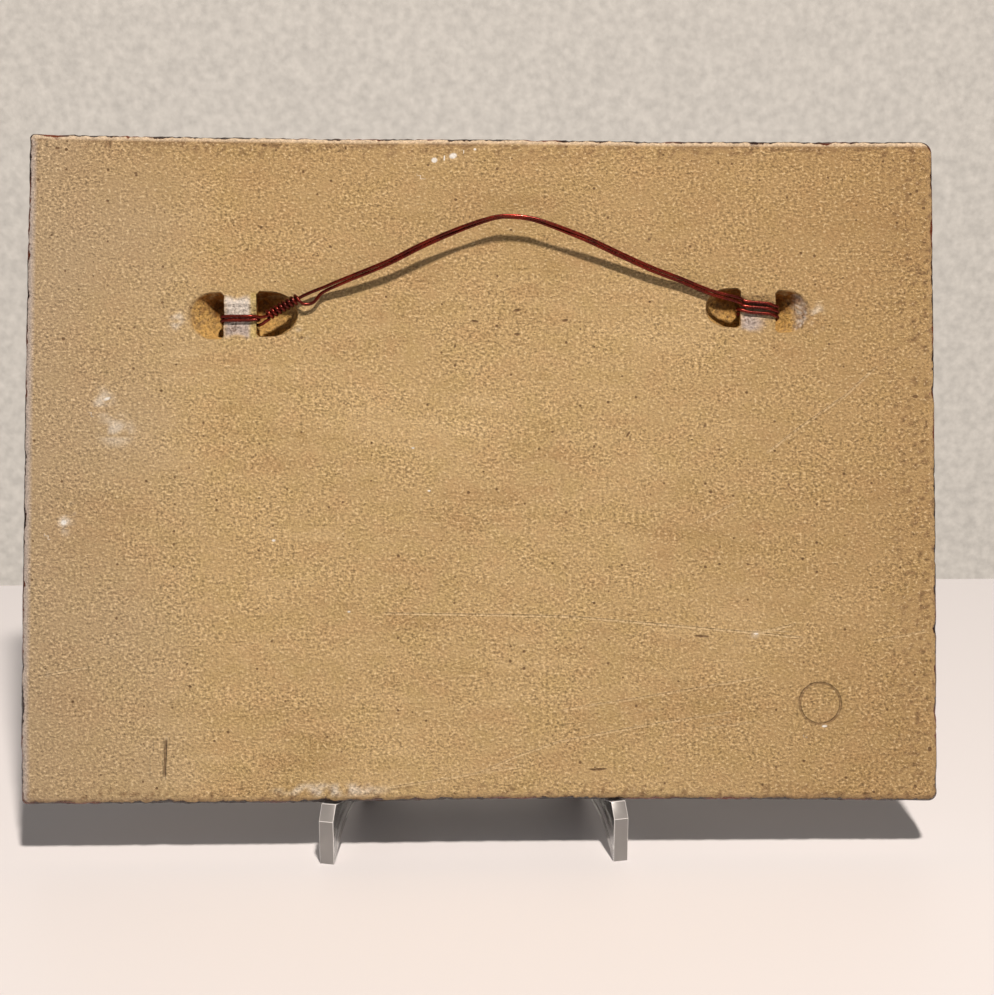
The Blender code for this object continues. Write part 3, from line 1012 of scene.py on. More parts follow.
    def _dress_front(self, f: Finish, at: Socket) -> None:
        """Dark iron glaze that breaks rusty on the border's edges and in the comb's ridges.

        Args:
            f: The material.
            at: Slab coordinates.
        """
        axes = f.add("SeparateXYZ", {0: at})
        x, y, z = axes.outputs[0], axes.outputs[1], axes.outputs[2]
        pools = f.noise(at, (14.0, 6.0, 6.0), 4.0, 0.62, 37.0)
        peel = f.noise(at, 2.6, 2.0, 0.5, 53.0)
        inward = f.math("MINIMUM", f.math("SUBTRACT", self.front_half[0], f.math("ABSOLUTE", x)),
                        f.math("SUBTRACT", self.front_half[1], f.math("ABSOLUTE", y)))
        step = f.band(f.math("ABSOLUTE", f.math("SUBTRACT", inward, self.border_step)), 1.6, 0.2)
        brim = f.band(inward, 2.4, 0.4)
        ridge = f.band(z, *self.comb_crest, 0.0, 0.55)
        broken = f.band(pools, 0.35, 0.70, 0.0, 0.4)
        rust = f.math("MAXIMUM", f.math("MAXIMUM", step, brim), f.math("MAXIMUM", ridge, broken))
        rust = f.math("MULTIPLY", rust, f.band(peel, 0.15, 0.6, 0.45, 1.0))
        f.surface(Base_Color=f.blend(rust, self.glaze, self.glaze_rust),
                  Roughness=f.band(peel, 0.3, 0.8, 0.14, 0.40),
                  Normal=f.bump(f.math("MULTIPLY", peel, 0.14)))


@dataclass
class Scoop:
    """A notch in the slab's back, beside its bridge: side, reach, height, middle and kind of floor."""

    side: int
    reach: float
    height: float
    middle: float
    ramped: bool = False


@dataclass
class Bridge:
    """Clay left between two notches: its middle, width, height of the wire and the scoops."""

    x: float
    width: float
    wire_y: float
    scoops: tuple[Scoop, Scoop]


def left_bridge() -> Bridge:
    """The bridge that the wire is coiled beside."""
    return Bridge(-75.0, 9.9, 45.3, (Scoop(-1, 11.3, 14.9, 46.4, True), Scoop(1, 12.9, 14.2, 47.1)))


def right_bridge() -> Bridge:
    """The bridge that holds the wire's ends."""
    return Bridge(85.6, 10.9, 49.0, (Scoop(-1, 10.9, 12.2, 49.9), Scoop(1, 10.9, 13.4, 48.8, True)))


@dataclass
class Plaque:
    """The stoneware slab: sizes in millimetres, in slab coordinates."""

    stance: Stance
    width: float = 281.6
    height: float = 206.6
    thickness: float = 13.0
    back_edge_round: float = 2.0
    front_edge_round: float = 1.5
    corner_radii: dict[tuple[int, int], float] = field(default_factory=lambda: {
        (-1, -1): 3.3, (1, -1): 4.5, (1, 1): 5.5, (-1, 1): 2.5})
    corner_least: float = 1.5
    dip_bottom: Pairs = ((0.0, 0.0), (0.16, 0.2), (0.3, 0.5), (0.46, 1.3), (0.55, 1.6), (0.82, 1.4),
                         (1.0, 0.9))
    dip_right: Pairs = ((0.0, 0.4), (0.4, 0.1), (0.7, 0.0), (0.9, 0.0), (1.0, 0.2))
    dip_top: Pairs = ((0.0, 0.1), (0.12, 0.6), (0.35, 1.0), (0.5, 0.75), (0.7, 1.0), (1.0, 0.5))
    dip_left: Pairs = ((0.0, 0.9), (0.12, 0.2), (0.6, 0.0), (1.0, 0.1))
    columns: int = 262
    rows: int = 192
    refine_reach: float = 21.0
    refine_height: float = 13.0
    rim_soft: float = 1.7
    rim_drop: float = 0.38
    round_steps: int = 4
    side_steps: int = 6
    border: float = 13.0
    field_depth: float = 1.0
    field_columns: int = 96
    field_rows: int = 70
    notch_depth: float = 7.0
    tunnel_depth: float = 5.0
    tunnel_half_height: float = 4.2
    tunnel_half_depth: float = 1.8
    saddle_half_height: float = 5.0
    saddle_depth: float = 0.8
    saddle_rise: float = 0.3
    scoop_floor: float = 4.0
    ramp_floor: float = 2.5
    scoop_straight: float = 0.6
    scoop_fullness: float = 0.8
    scoop_bottom_share: float = 0.72
    scoop_corner_share: float = 0.14
    scoop_levels: int = 12
    scoop_steps: int = 22
    cut_over: float = 1.0
    oval_steps: int = 28
    bar_slices: int = 10
    waves: tuple[Waves, ...] = (Waves(0.14, (48.0, 40.0, 40.0), 1.3), Waves(0.10, (13.0, 5.0, 6.0), 4.7),
                                Waves(0.07, (3.6, 2.4, 2.4), 9.1))
    crumbs: tuple[Waves, ...] = (Waves(0.30, (1.6, 1.6, 1.6), 2.9), Waves(0.16, (0.7, 0.7, 0.7), 6.3))
    nicks: Waves = Waves(0.55, (5.5, 5.5, 4.0), 15.1)
    nick_level: float = 0.12
    chips: Waves = Waves(0.45, (1.9, 1.9, 1.9), 21.7)
    chip_level: float = 0.22
    low_side_reach: float = 8.0
    low_side_share: float = 0.7
    crease_below: float = 2.6
    crease_width: float = 1.0
    crease_depth: float = 0.22
    front_reach: float = 2.5
    comb_depth: float = 0.32
    comb_pitch: float = 2.1
    comb_sway: float = 1.7
    comb_sway_length: float = 31.0
    comb_drift: Waves = Waves(2.2, (60.0, 60.0, 60.0), 31.0)
    comb_margin: float = 1.5
    most_out: float = 0.12
    comb_most_out: float = 0.4
    scratches: tuple[Stroke, ...] = (
        Stroke(((-29.1, -45.1), (11.4, -45.6), (26.0, -45.9), (44.6, -47.4), (60.4, -48.8),
                (75.1, -50.1), (84.5, -50.8), (97.7, -52.2)), 0.3, 0.12),
        Stroke(((84.5, -50.8), (95.2, -48.5)), 0.3, 0.10),
        Stroke(((121.3, -53.2), (136.6, -50.4)), 0.3, 0.08),
        Stroke(((-25.9, -97.8), (-14.0, -96.0), (-0.9, -93.7), (11.3, -88.4), (23.4, -84.3),
                (40.5, -81.0), (55.1, -78.4), (75.0, -75.5)), 0.3, 0.09),
        Stroke(((-8.0, -94.8), (11.3, -91.9)), 0.3, 0.08),
        Stroke(((25.4, -74.5), (35.8, -72.7), (42.6, -71.8), (53.2, -70.0), (84.7, -64.7)), 0.3, 0.08),
        Stroke(((68.6, -80.2), (83.4, -78.2)), 0.3, 0.08),
        Stroke(((121.6, 31.0), (112.4, 22.5), (98.1, 12.5), (89.0, 5.4)), 0.32, 0.11),
        Stroke(((67.6, -16.3), (77.3, -11.2)), 0.3, 0.09),
        Stroke(((-134.5, -64.4), (-124.5, -62.4), (-119.8, -61.8)), 0.3, 0.14),
        Stroke(((-96.2, -84.4), (-96.5, -94.1)), 0.38, 0.42),
    )
    spots: tuple[Spot, ...] = (
        Spot((-131.7, 98.3), (0.8, 0.5)), Spot((-68.0, 99.7), (0.9, 0.5)), Spot((70.6, -7.5), (0.55, 0.5)),
        Spot((45.0, 10.3), (1.3, 0.35), 55.0), Spot((35.6, -92.6), (3.1, 0.4), 2.0),
        Spot((67.7, -51.9), (2.5, 0.4), -2.0), Spot((10.6, 48.7), (1.3, 0.45), 8.0),
        Spot((-2.4, 45.2), (1.2, 0.4), -10.0), Spot((10.6, 41.2), (1.0, 0.45)),
        Spot((25.5, 45.6), (1.1, 0.4), 12.0), Spot((-89.1, -67.5), (0.55, 0.45)),
        Spot((134.4, 22.4), (1.0, 0.5)), Spot((137.5, 81.5), (0.6, 0.5)), Spot((135.5, 86.8), (0.5, 0.5)),
        Spot((137.9, -86.5), (0.7, 0.8)), Spot((-81.0, 41.9), (0.9, 0.8)),
        Spot((-15.2, 95.5), (1.0, 0.9), 10.0, True), Spot((-9.4, 96.9), (1.3, 0.95), 15.0, True),
        Spot((-2.6, 99.0), (0.45, 0.4), 0.0, True),
        Spot((-128.1, -17.5), (0.9, 0.8), 0.0, True), Spot((-115.4, 20.6), (1.1, 0.5), 20.0, True),
        Spot((105.4, -79.4), (0.9, 0.4), 5.0, True), Spot((-64.0, -22.8), (0.6, 0.4), 0.0, True),
        Spot((-21.4, 5.8), (0.5, 0.3), 0.0, True), Spot((-40.8, -44.6), (0.5, 0.3), 0.0, True),
        Spot((-16.4, -7.4), (0.5, 0.3), 0.0, True), Spot((84.4, -51.1), (0.8, 0.3), 0.0, True),
    )
    spot_reach: float = 7.0
    scratch_fade: float = 2.0
    scratch_reach: float = 4.0
    bridges: tuple[Bridge, Bridge] = field(default_factory=lambda: (left_bridge(), right_bridge()))

    def build(self) -> bpy.types.Object:
        """Builds the slab and dresses it.

        Returns:
            The finished piece.
        """
        slab = self._sheet("plaque_stoneware", self.back_edge_round, self.columns, self.rows, 0.0)
        self._turn_edges(slab)
        self._close_front(slab)
        self._refine(slab)
        self._cut_notches(slab)
        self._dress(slab)
        self._paint(slab)
        self._mark_scratches(slab)
        self._mark_spots(slab)
        self._wear(slab)
        self.stance.stand(slab)
        shade(slab, 50.0)
        finish_piece(slab, Slot.STONEWARE, "plaque_slab")
        return slab

    def _sheet(self, name: str, inset: float, columns: int, rows: int, z: float) -> bpy.types.Object:
        """Adds a grid in the slab's outline.

        Args:
            name: Name of the object.
            inset: How far the grid ends inside the outline.
            columns: Faces along x.
            rows: Faces along y.
            z: Height of the grid.

        Returns:
            The grid.
        """
        deselect_all()
        bpy.ops.mesh.primitive_grid_add(x_subdivisions=columns, y_subdivisions=rows, size=2.0)
        sheet = bpy.context.object
        sheet.name = name
        places = places_of(sheet)
        places[:, :2] = self._in_outline(places[:, :2], inset)
        places[:, 2] = z
        set_places(sheet, places)
        return sheet

    def _in_outline(self, square: np.ndarray, inset: float) -> np.ndarray:
        """Fits a square from -1 to 1 to the hand-cut outline.

        Args:
            square: A row of two numbers for each place.
            inset: How far inside the outline the square's edge comes.

        Returns:
            The places in the outline.
        """
        half = np.array([self.width / 2 - inset, self.height / 2 - inset])
        fitted = square * half
        for (side_x, side_y), radius in self.corner_radii.items():
            rounding = max(radius - inset, self.corner_least)
            start = half - rounding
            off = fitted * np.array([side_x, side_y]) - start
            in_corner = (off > 0.0).all(axis=1)
            reach = np.maximum(np.hypot(off[:, 0], off[:, 1]), 1e-9)
            pulled = start + off * (off.max(axis=1) / reach)[:, None]
            fitted[in_corner] = (pulled * np.array([side_x, side_y]))[in_corner]
        across = (fitted[:, 0] + self.width / 2) / self.width
        up = (fitted[:, 1] + self.height / 2) / self.height
        from_left = read_pairs(self.dip_left, up) * (1 - across)
        from_right = read_pairs(self.dip_right, up) * across
        from_bottom = read_pairs(self.dip_bottom, across) * (1 - up)
        from_top = read_pairs(self.dip_top, across) * up
        fitted[:, 0] += from_left - from_right
        fitted[:, 1] += from_bottom - from_top
        return fitted

    def _turn_edges(self, slab: bpy.types.Object) -> None:
        """Extrudes the sheet's edge round the back edge, down the sides and in to the field."""
        quarter = [math.pi / 2 * step / self.round_steps for step in range(self.round_steps + 1)]
        rings = [(self.back_edge_round * (math.sin(a) - 1), self.back_edge_round * (1 - math.cos(a)))
                 for a in quarter[1:]]
        straight = self.thickness - self.back_edge_round - self.front_edge_round
        rings += [(0.0, self.back_edge_round + straight * step / self.side_steps)
                  for step in range(1, self.side_steps + 1)]
        rings += [(self.front_edge_round * (math.cos(a) - 1),
                   self.thickness - self.front_edge_round * (1 - math.sin(a))) for a in quarter[1:]]
        rings.append((-self.border, self.thickness))
        rings.append((-self.border - self.field_depth, self.thickness - self.field_depth))
        edit(slab, lambda: bpy.ops.mesh.select_all(action="SELECT"),
             lambda: bpy.ops.mesh.region_to_loop())
        now, depth = -self.back_edge_round, 0.0
        for outward, below in rings:
            grow_x = (self.width / 2 + outward) / (self.width / 2 + now)
            grow_y = (self.height / 2 + outward) / (self.height / 2 + now)
            drop = depth - below
            edit(slab, lambda: bpy.ops.mesh.extrude_edges_move(
                TRANSFORM_OT_translate={"value": (0.0, 0.0, drop)}),
                lambda: bpy.ops.transform.resize(value=(grow_x, grow_y, 1.0), center_override=(0, 0, 0)))
            now, depth = outward, below

    def _close_front(self, slab: bpy.types.Object) -> None:
        """Bridges the border's inner edge to a grid that fills the front's field."""
        inset = self.border + self.field_depth + self.width / self.field_columns / 2
        grid = self._sheet("front field", inset, self.field_columns, self.field_rows,
                           self.field_depth - self.thickness)
        edit(grid, lambda: bpy.ops.mesh.select_all(action="SELECT"),
             lambda: bpy.ops.mesh.flip_normals(),
             lambda: bpy.ops.mesh.region_to_loop())
        make_active(slab)
        grid.select_set(True)
        bpy.ops.object.join()
        edit(slab, lambda: bpy.ops.mesh.bridge_edge_loops())
        face_outwards(slab)

    def _refine(self, slab: bpy.types.Object) -> None:
        """Splits the back's faces finer round each pair of notches."""
        edit(slab, lambda: bpy.ops.mesh.select_all(action="DESELECT"))
        for polygon in slab.data.polygons:
            middle = polygon.center
            polygon.select = middle.z > -0.01 and any(
                abs(middle.x - bridge.x) < self.refine_reach
                and abs(middle.y - bridge.wire_y) < self.refine_height for bridge in self.bridges)
        edit(slab, lambda: bpy.ops.mesh.subdivide(number_cuts=1))

    def _scoop_cutter(self, bridge: Bridge, scoop: Scoop) -> bpy.types.Object:
        """A scooped notch: a straight wall at the bridge, and a floor that rises away from it.

        Args:
            bridge: The bridge beside the notch.
            scoop: The notch.

        Returns:
            The cutter.
        """
        wall = bridge.x + scoop.side * bridge.width / 2
        floor = self.ramp_floor if scoop.ramped else self.scoop_floor
        rings: list[list[Point]] = []
        for level in range(self.scoop_levels + 1):
            t = level / self.scoop_levels
            z = -self.notch_depth * t if level else self.cut_over
            shape = 1.0 + z / self.notch_depth if scoop.ramped else math.sqrt(1.0 - t ** 2)
            reach = floor + (scoop.reach - floor) * shape
            half = scoop.height / 2 * (self.scoop_bottom_share + (1.0 - self.scoop_bottom_share) * shape)
            straight = floor * self.scoop_straight
            corner = half * self.scoop_corner_share
            ring: list[Point] = [(wall, scoop.middle - half + corner, z),
                                 (wall + scoop.side * corner, scoop.middle - half, z)]
            for index in range(self.scoop_steps + 1):
                angle = math.pi * (index / self.scoop_steps - 0.5)
                fullness = max(math.cos(angle), 0.0) ** self.scoop_fullness
                ring.append((wall + scoop.side * (straight + (reach - straight) * fullness),
                             scoop.middle + half * math.sin(angle), z))
            ring += [(wall + scoop.side * corner, scoop.middle + half, z),
                     (wall, scoop.middle + half - corner, z)]
            rings.append(ring)
        return closed_rings("scoop", rings)

    def _bar_cutter(self, bridge: Bridge, overhang: float, half_height: float, half_depth: float,
                    depth: float) -> bpy.types.Object:
        """An oval bar across a bridge, for the tunnel behind it or the saddle in its face.

        Args:
            bridge: The bridge.
            overhang: How far the bar stands out past the bridge at each end.
            half_height: Half the bar's size along the slab.
            half_depth: Half the bar's size into the slab.
            depth: How deep the bar's middle lies.

        Returns:
            The cutter.
        """
        reach = bridge.width / 2 + overhang
        rings = []
        for index in range(self.bar_slices + 1):
            x = bridge.x + reach * (2 * index / self.bar_slices - 1)
            rings.append([(x, bridge.wire_y + half_height * math.cos(a), -depth + half_depth * math.sin(a))
                          for a in (math.tau * step / self.oval_steps for step in range(self.oval_steps))])
        return closed_rings("bar", rings)

    def _cut_notches(self, slab: bpy.types.Object) -> None:
        """Cuts the notches, the tunnels behind the bridges and the saddles that the wire lies in."""
        cutters = []
        for bridge in self.bridges:
            cutters += [self._scoop_cutter(bridge, scoop) for scoop in bridge.scoops]
            cutters.append(self._bar_cutter(bridge, self.scoop_floor / 2, self.tunnel_half_height,
                                            self.tunnel_half_depth, self.tunnel_depth))
            cutters.append(self._bar_cutter(bridge, self.cut_over, self.saddle_half_height,
                                            self.saddle_depth + self.saddle_rise, -self.saddle_rise))
        for cutter in cutters:
            apply_modifier(slab, "BOOLEAN", object=cutter, operation="DIFFERENCE", solver="EXACT")
            remove(cutter)

    def _wear(self, slab: bpy.types.Object) -> None:
        """Moves the surface for the clay's waves, streaks and crumbs, and the edges' nicks."""
        places = places_of(slab)
        normals = normals_of(slab)
        z = places[:, 2]
        move = sum(layer.at(places) for layer in self.waves)
        in_notch = (z < -0.4) & (z > -self.notch_depth - 0.5)
        in_notch &= np.abs(places[:, 0]) < self.width / 2 - self.border
        crumbs = sum(layer.at(places) for layer in self.crumbs)
        move = np.where(in_notch, 0.4 * move + crumbs, move)
        bites = self.nicks.above(places, self.nick_level) + self.chips.above(places, self.chip_level)
        low_side = places[:, 1] < -self.height / 2 + self.low_side_reach
        move -= self._edge_share(places) * bites * np.where(low_side, self.low_side_share, 1.0)
        rim = self._rim_share(places)
        move = np.where(in_notch, move, move - self.rim_drop * rim ** 2)
        from_crease = self.height / 2 - places[:, 1] - self.crease_below
        move -= self.crease_depth * np.exp(-((from_crease / self.crease_width) ** 2)) * (np.abs(z) < 0.01)
        sway = self.comb_sway * np.sin(places[:, 0] / self.comb_sway_length)
        combed = self.comb_depth * np.sin(places[:, 1] / self.comb_pitch + sway + self.comb_drift.at(places))
        in_field = z < -self.thickness + self.front_reach
        in_field &= self._inwards(places) > self.border + self.comb_margin
        move = np.where(in_field, 0.5 * move + combed, move)
        move = np.minimum(move, self.most_out + self.comb_most_out * in_field)
        set_places(slab, places + normals * move[:, None])

    def _dress(self, slab: bpy.types.Object) -> None:
        """Gives the back face, the notches, the edges and the front their materials."""
        finish = StonewareFinish(self.stance)
        sides = list(Side)
        slab.data.materials.clear()
        for side in sides:
            slab.data.materials.append(finish.make(side))
        for polygon in slab.data.polygons:
            polygon.material_index = sides.index(self._side_of(polygon.center, finish))

    def _side_of(self, middle: Vector, finish: StonewareFinish) -> Side:
        """Which surface a face belongs to.

        Args:
            middle: Middle of the face.
            finish: The finish, for the stamp's place.

        Returns:
            The surface.
        """
        if middle.z < -self.thickness + self.front_reach:
            return Side.FRONT
        if middle.z < -0.01:
            inside = self.width / 2 - abs(middle.x) > self.border and abs(middle.y) < self.height / 2 - 20.0
            return Side.NOTCH if inside else Side.EDGE
        off = middle.xy - Vector(finish.stamp_middle)
        return Side.STAMP if off.length < 2 * finish.stamp_radius else Side.BACK

    def _paint(self, slab: bpy.types.Object) -> None:
        """Gives each vertex the clay's slow colour, and the strength of its grain as alpha."""
        paint, places = ClayPaint(), places_of(slab)
        rows = np.column_stack((paint.colours(places, self), paint.grain(places))).astype(np.float32)
        slab.data.attributes.new(PAINT, "FLOAT_COLOR", "POINT").data.foreach_set("color", rows.ravel())

    def _mark_spots(self, slab: bpy.types.Object) -> None:
        """Gives each vertex its way to the nearest spot, in half sizes, and whether it is pale."""
        places = places_of(slab)[:, :2]
        nearest = np.full(len(places), self.spot_reach)
        rows = np.tile(np.array((self.spot_reach, self.spot_reach, -1.0)), (len(places), 1))
        for spot in self.spots:
            off = places - np.array(spot.middle)
            distance = np.hypot(off[:, 0], off[:, 1])
            c, s = math.cos(math.radians(spot.turn)), math.sin(math.radians(spot.turn))
            own = np.column_stack(((off[:, 0] * c + off[:, 1] * s) / spot.reach[0],
                                   (off[:, 1] * c - off[:, 0] * s) / spot.reach[1],
                                   np.full(len(places), 1.0 if spot.pale else -1.0)))
            closer = distance < nearest
            nearest[closer] = distance[closer]
            rows[closer] = own[closer]
        attribute = slab.data.attributes.new(SPOT_OFF, "FLOAT_VECTOR", "POINT")
        attribute.data.foreach_set("vector", rows.astype(np.float32).ravel())

    def _mark_scratches(self, slab: bpy.types.Object) -> None:
        """Gives each vertex its distance across the nearest scratch, in half widths, and the depth.

        The distance is to the line that the scratch runs on, so it stays true between vertices.
        """
        places = places_of(slab)[:, :2]
        nearest = np.full(len(places), self.scratch_reach)
        across = np.full(len(places), self.scratch_reach)
        depth = np.zeros(len(places))
        for scratch in self.scratches:
            last = len(scratch.points) - 2
            for number, (start, end) in enumerate(zip(scratch.points, scratch.points[1:])):
                line = np.subtract(end, start)
                length = np.hypot(*line)
                off = places - np.array(start)
                along = off @ line / length
                beside = (off[:, 1] * line[0] - off[:, 0] * line[1]) / length
                beyond = np.maximum(np.maximum(-along, along - length), 0.0)
                distance = np.hypot(beside, beyond)
                closer = distance < nearest
                fade = np.where((along < 0.0) & (number > 0) | (along > length) & (number < last),
                                1.0, np.clip(1.0 - beyond / self.scratch_fade, 0.0, 1.0))
                nearest[closer] = distance[closer]
                across[closer] = beside[closer] / scratch.width
                depth[closer] = (scratch.depth * fade)[closer]
        for name, values in ((SCRATCH_ACROSS, across), (SCRATCH_DEPTH, depth)):
            attribute = slab.data.attributes.new(name, "FLOAT", "POINT")
            attribute.data.foreach_set("value", values.astype(np.float32))

    def _rim_share(self, places: np.ndarray) -> np.ndarray:
        """1 on the back at a notch's rim, down to 0 a little way off."""
        walls = places[(places[:, 2] < -0.3) & (self._inwards(places) > self.border)
                       & (places[:, 2] > -self.notch_depth - 0.5)]
        tree = kdtree.KDTree(len(walls))
        for index, place in enumerate(walls):
            tree.insert(place, index)
        tree.balance()
        share = np.zeros(len(places))
        near = (places[:, 2] > -0.3) & np.any([
            (np.abs(places[:, 0] - bridge.x) < self.refine_reach)
            & (np.abs(places[:, 1] - bridge.wire_y) < self.refine_height) for bridge in self.bridges], axis=0)
        for index in np.flatnonzero(near):
            share[index] = max(0.0, 1.0 - tree.find(places[index])[2] / self.rim_soft)
        return share

    def _inwards(self, places: np.ndarray) -> np.ndarray:
        """How far each place lies inside the slab's width and height."""
        return np.minimum(self.width / 2 - np.abs(places[:, 0]), self.height / 2 - np.abs(places[:, 1]))

    def _edge_share(self, places: np.ndarray) -> np.ndarray:
        """1 at the slab's back edge, down to 0 a few millimetres away."""
        inward = np.clip(self._inwards(places) - self.back_edge_round, 0.0, None)
        down = np.clip(-places[:, 2] - self.back_edge_round, 0.0, None)
        return np.exp(-((inward / 2.0) ** 2)) * np.exp(-((down / 2.5) ** 2))


# The hanging wire


@dataclass(frozen=True)
class EnamelFinish:
    """Dark red-brown enamel on copper, a little worn."""

    dark: Point = (0.085, 0.0070, 0.0030)
    red: Point = (0.18, 0.014, 0.0045)

    def make(self) -> bpy.types.Material:
        """The wire's material."""
        f = Finish("copper_enamel")
        at = f.own_point()
        patches = f.noise(at, 5.0, 3.0, 0.6)
        worn = f.noise(at, 0.7, 2.0, 0.6, 5.0)
        f.surface(Base_Color=f.blend(f.band(patches, 0.38, 0.66), self.dark, self.red),
                  Metallic=0.75, Coat_Weight=0.12, Coat_Roughness=0.10)
        f.surface(Roughness=f.band(worn, 0.3, 0.8, 0.22, 0.36),
                  Normal=f.bump(f.math("MULTIPLY", worn, 0.03)))
        return f.material


@dataclass
class HangingWire:
    """One length of wire, doubled over the span: sizes in millimetres, in slab coordinates."""

    stance: Stance
    plaque: Plaque
    diameter: float = 1.05
    gap: float = 0.35
    strand_spacing: float = 1.15
    coil_turns: float = 7.5
    coil_radius: float = 1.25
    coil_steps: int = 24
    step: float = 0.55
    sides: int = 4
    span_apex_x: float = 8.0
    span_twist: float = math.radians(75.0)
    span_twist_reach: float = 22.0
    turn_step: float = 20.0
    turn_squareness: float = 0.4
    span_route: tuple[Point, ...] = (
        (-41.2, 57.6, 3.9), (-29.5, 62.3, 5.0), (-18.5, 67.8, 5.7), (-7.5, 72.6, 6.0), (2.6, 76.1, 6.3),
        (8.2, 76.7, 6.4), (14.3, 76.1, 6.3), (20.5, 74.3, 6.1), (31.6, 70.2, 5.2), (41.9, 65.7, 4.0),
        (51.5, 61.6, 3.0), (60.9, 58.2, 2.2), (70.4, 54.5, 1.6),
    )
    coil_start: Point = (-66.6, 46.4, 0.7)
    coil_end: Point = (-57.3, 51.4, 2.1)
    coil_lead_in: tuple[Point, ...] = ((-68.9, 43.9, -1.3), (-68.0, 44.1, -0.4), (-67.1, 44.7, 0.3))
    loop_route: tuple[Point, ...] = (
        (-57.2, 51.8, 2.8), (-56.3, 50.6, 2.9), (-55.0, 49.8, 2.7), (-53.4, 49.9, 2.5), (-51.8, 50.7, 2.4),
        (-50.2, 52.8, 2.3), (-48.6, 53.9, 2.5), (-46.2, 55.0, 2.9),
    )
    upper_strand_left: tuple[Point, ...] = ((-46.0, 56.3, 3.2), (-48.6, 55.2, 2.8), (-51.6, 54.1, 2.4),
                                            (-54.6, 52.8, 2.3))
    upper_strand_right: Point = (79.2, 52.9, 1.1)
    lower_strand_right: Point = (79.0, 51.6, 1.0)
    left_turns: Pairs = ((62.0, 46.4), (180.0, 46.1), (360.0, 45.5), (540.0, 44.8), (705.0, 44.0))
    right_turns_upper: Pairs = ((122.0, 52.4), (60.0, 50.7), (0.0, 50.0), (-180.0, 49.7),
                                (-238.0, 49.2), (-300.0, 47.6), (-360.0, 46.9), (-385.0, 46.7))
    right_turns_lower: Pairs = ((122.0, 50.8), (60.0, 49.2), (0.0, 48.5), (-180.0, 48.2),
                                (-200.0, 48.0))

    def build(self) -> bpy.types.Object:
        """Builds the wire and dresses it.

        Returns:
            The finished piece.
        """
        curve = bpy.data.curves.new("hanging_wire_enamelled", "CURVE")
        curve.dimensions = "3D"
        curve.bevel_depth = self.diameter / 2
        curve.bevel_resolution = self.sides
        curve.use_fill_caps = True
        route = self._route()
        spline = curve.splines.new("POLY")
        spline.points.add(len(route) - 1)
        for point, place in zip(spline.points, route):
            point.co = (*place, 1.0)
        wire = bpy.data.objects.new(curve.name, curve)
        bpy.context.scene.collection.objects.link(wire)
        make_active(wire)
        bpy.ops.object.convert(target="MESH")
        wire = bpy.context.object
        face_outwards(wire)
        self.stance.stand(wire)
        shade(wire, 60.0)
        wire.data.materials.clear()
        wire.data.materials.append(EnamelFinish().make())
        finish_piece(wire, Slot.WIRE, "hanging_wire")
        return wire

    def _turns(self, bridge: Bridge, heights: Pairs) -> list[Point]:
        """The wire's way round a bridge: a squarish turn through the notches and the tunnel.

        Args:
            bridge: The bridge that is wound round.
            heights: Height against the angle of the turn, in degrees.

        Returns:
            Points of the turn.
        """
        half_width = bridge.width / 2 + self.diameter / 2 + self.gap
        front = -self.plaque.saddle_depth + self.diameter / 2 + self.gap
        back = -self.plaque.tunnel_depth + self.plaque.tunnel_half_depth - self.diameter / 2 - self.gap
        first, last = heights[0][0], heights[-1][0]
        count = round(abs(last - first) / self.turn_step)
        points = []
        for index in range(count + 1):
            angle = first + (last - first) * index / count
            c, s = math.cos(math.radians(angle)), math.sin(math.radians(angle))
            x = bridge.x + half_width * math.copysign(abs(c) ** self.turn_squareness, c)
            z = (front + back) / 2 + (front - back) / 2 * math.copysign(abs(s) ** self.turn_squareness, s)
            points.append((x, float(read_pairs(heights, angle)), z))
        return points

    def _strand(self, side: int) -> list[Point]:
        """One strand of the doubled span: side 1 runs above the middle line, side -1 below it."""
        points = []
        for x, y, z in self.span_route:
            turn = self.span_twist * math.exp(-((x - self.span_apex_x) / self.span_twist_reach) ** 2)
            shift = side * self.strand_spacing / 2
            points.append((x, y + shift * math.cos(turn), z + shift * math.sin(turn)))
        return points

    def _coil(self) -> list[Vector]:
        """The turns that the wire takes round its upper strand."""
        start, end = Vector(self.coil_start), Vector(self.coil_end)
        outward = Vector((0.0, 0.0, 1.0))
        upward = outward.cross((end - start).normalized()).normalized()
        count = round(self.coil_turns * self.coil_steps)
        points = []
        for index in range(count + 1):
            angle = math.pi + math.tau * index / self.coil_steps
            points.append(start.lerp(end, index / count) + upward * self.coil_radius * math.cos(angle)
                          + outward * self.coil_radius * math.sin(angle))
        return points

    def _route(self) -> list[Vector]:
        """The whole wire, from its end in the right notch to the other beside it."""
        left, right = self.plaque.bridges
        upper = [*reversed(self._turns(right, self.right_turns_upper)), self.upper_strand_right,
                 *reversed(self._strand(1)), *self.upper_strand_left, self.coil_end, self.coil_start]
        turns = [*self._turns(left, self.left_turns), *self.coil_lead_in]
        lower = [*self.loop_route, *self._strand(-1), self.lower_strand_right,
                 *self._turns(right, self.right_turns_lower)]
        return smooth_route(upper + turns, self.step) + self._coil() + smooth_route(lower, self.step)


# The easel


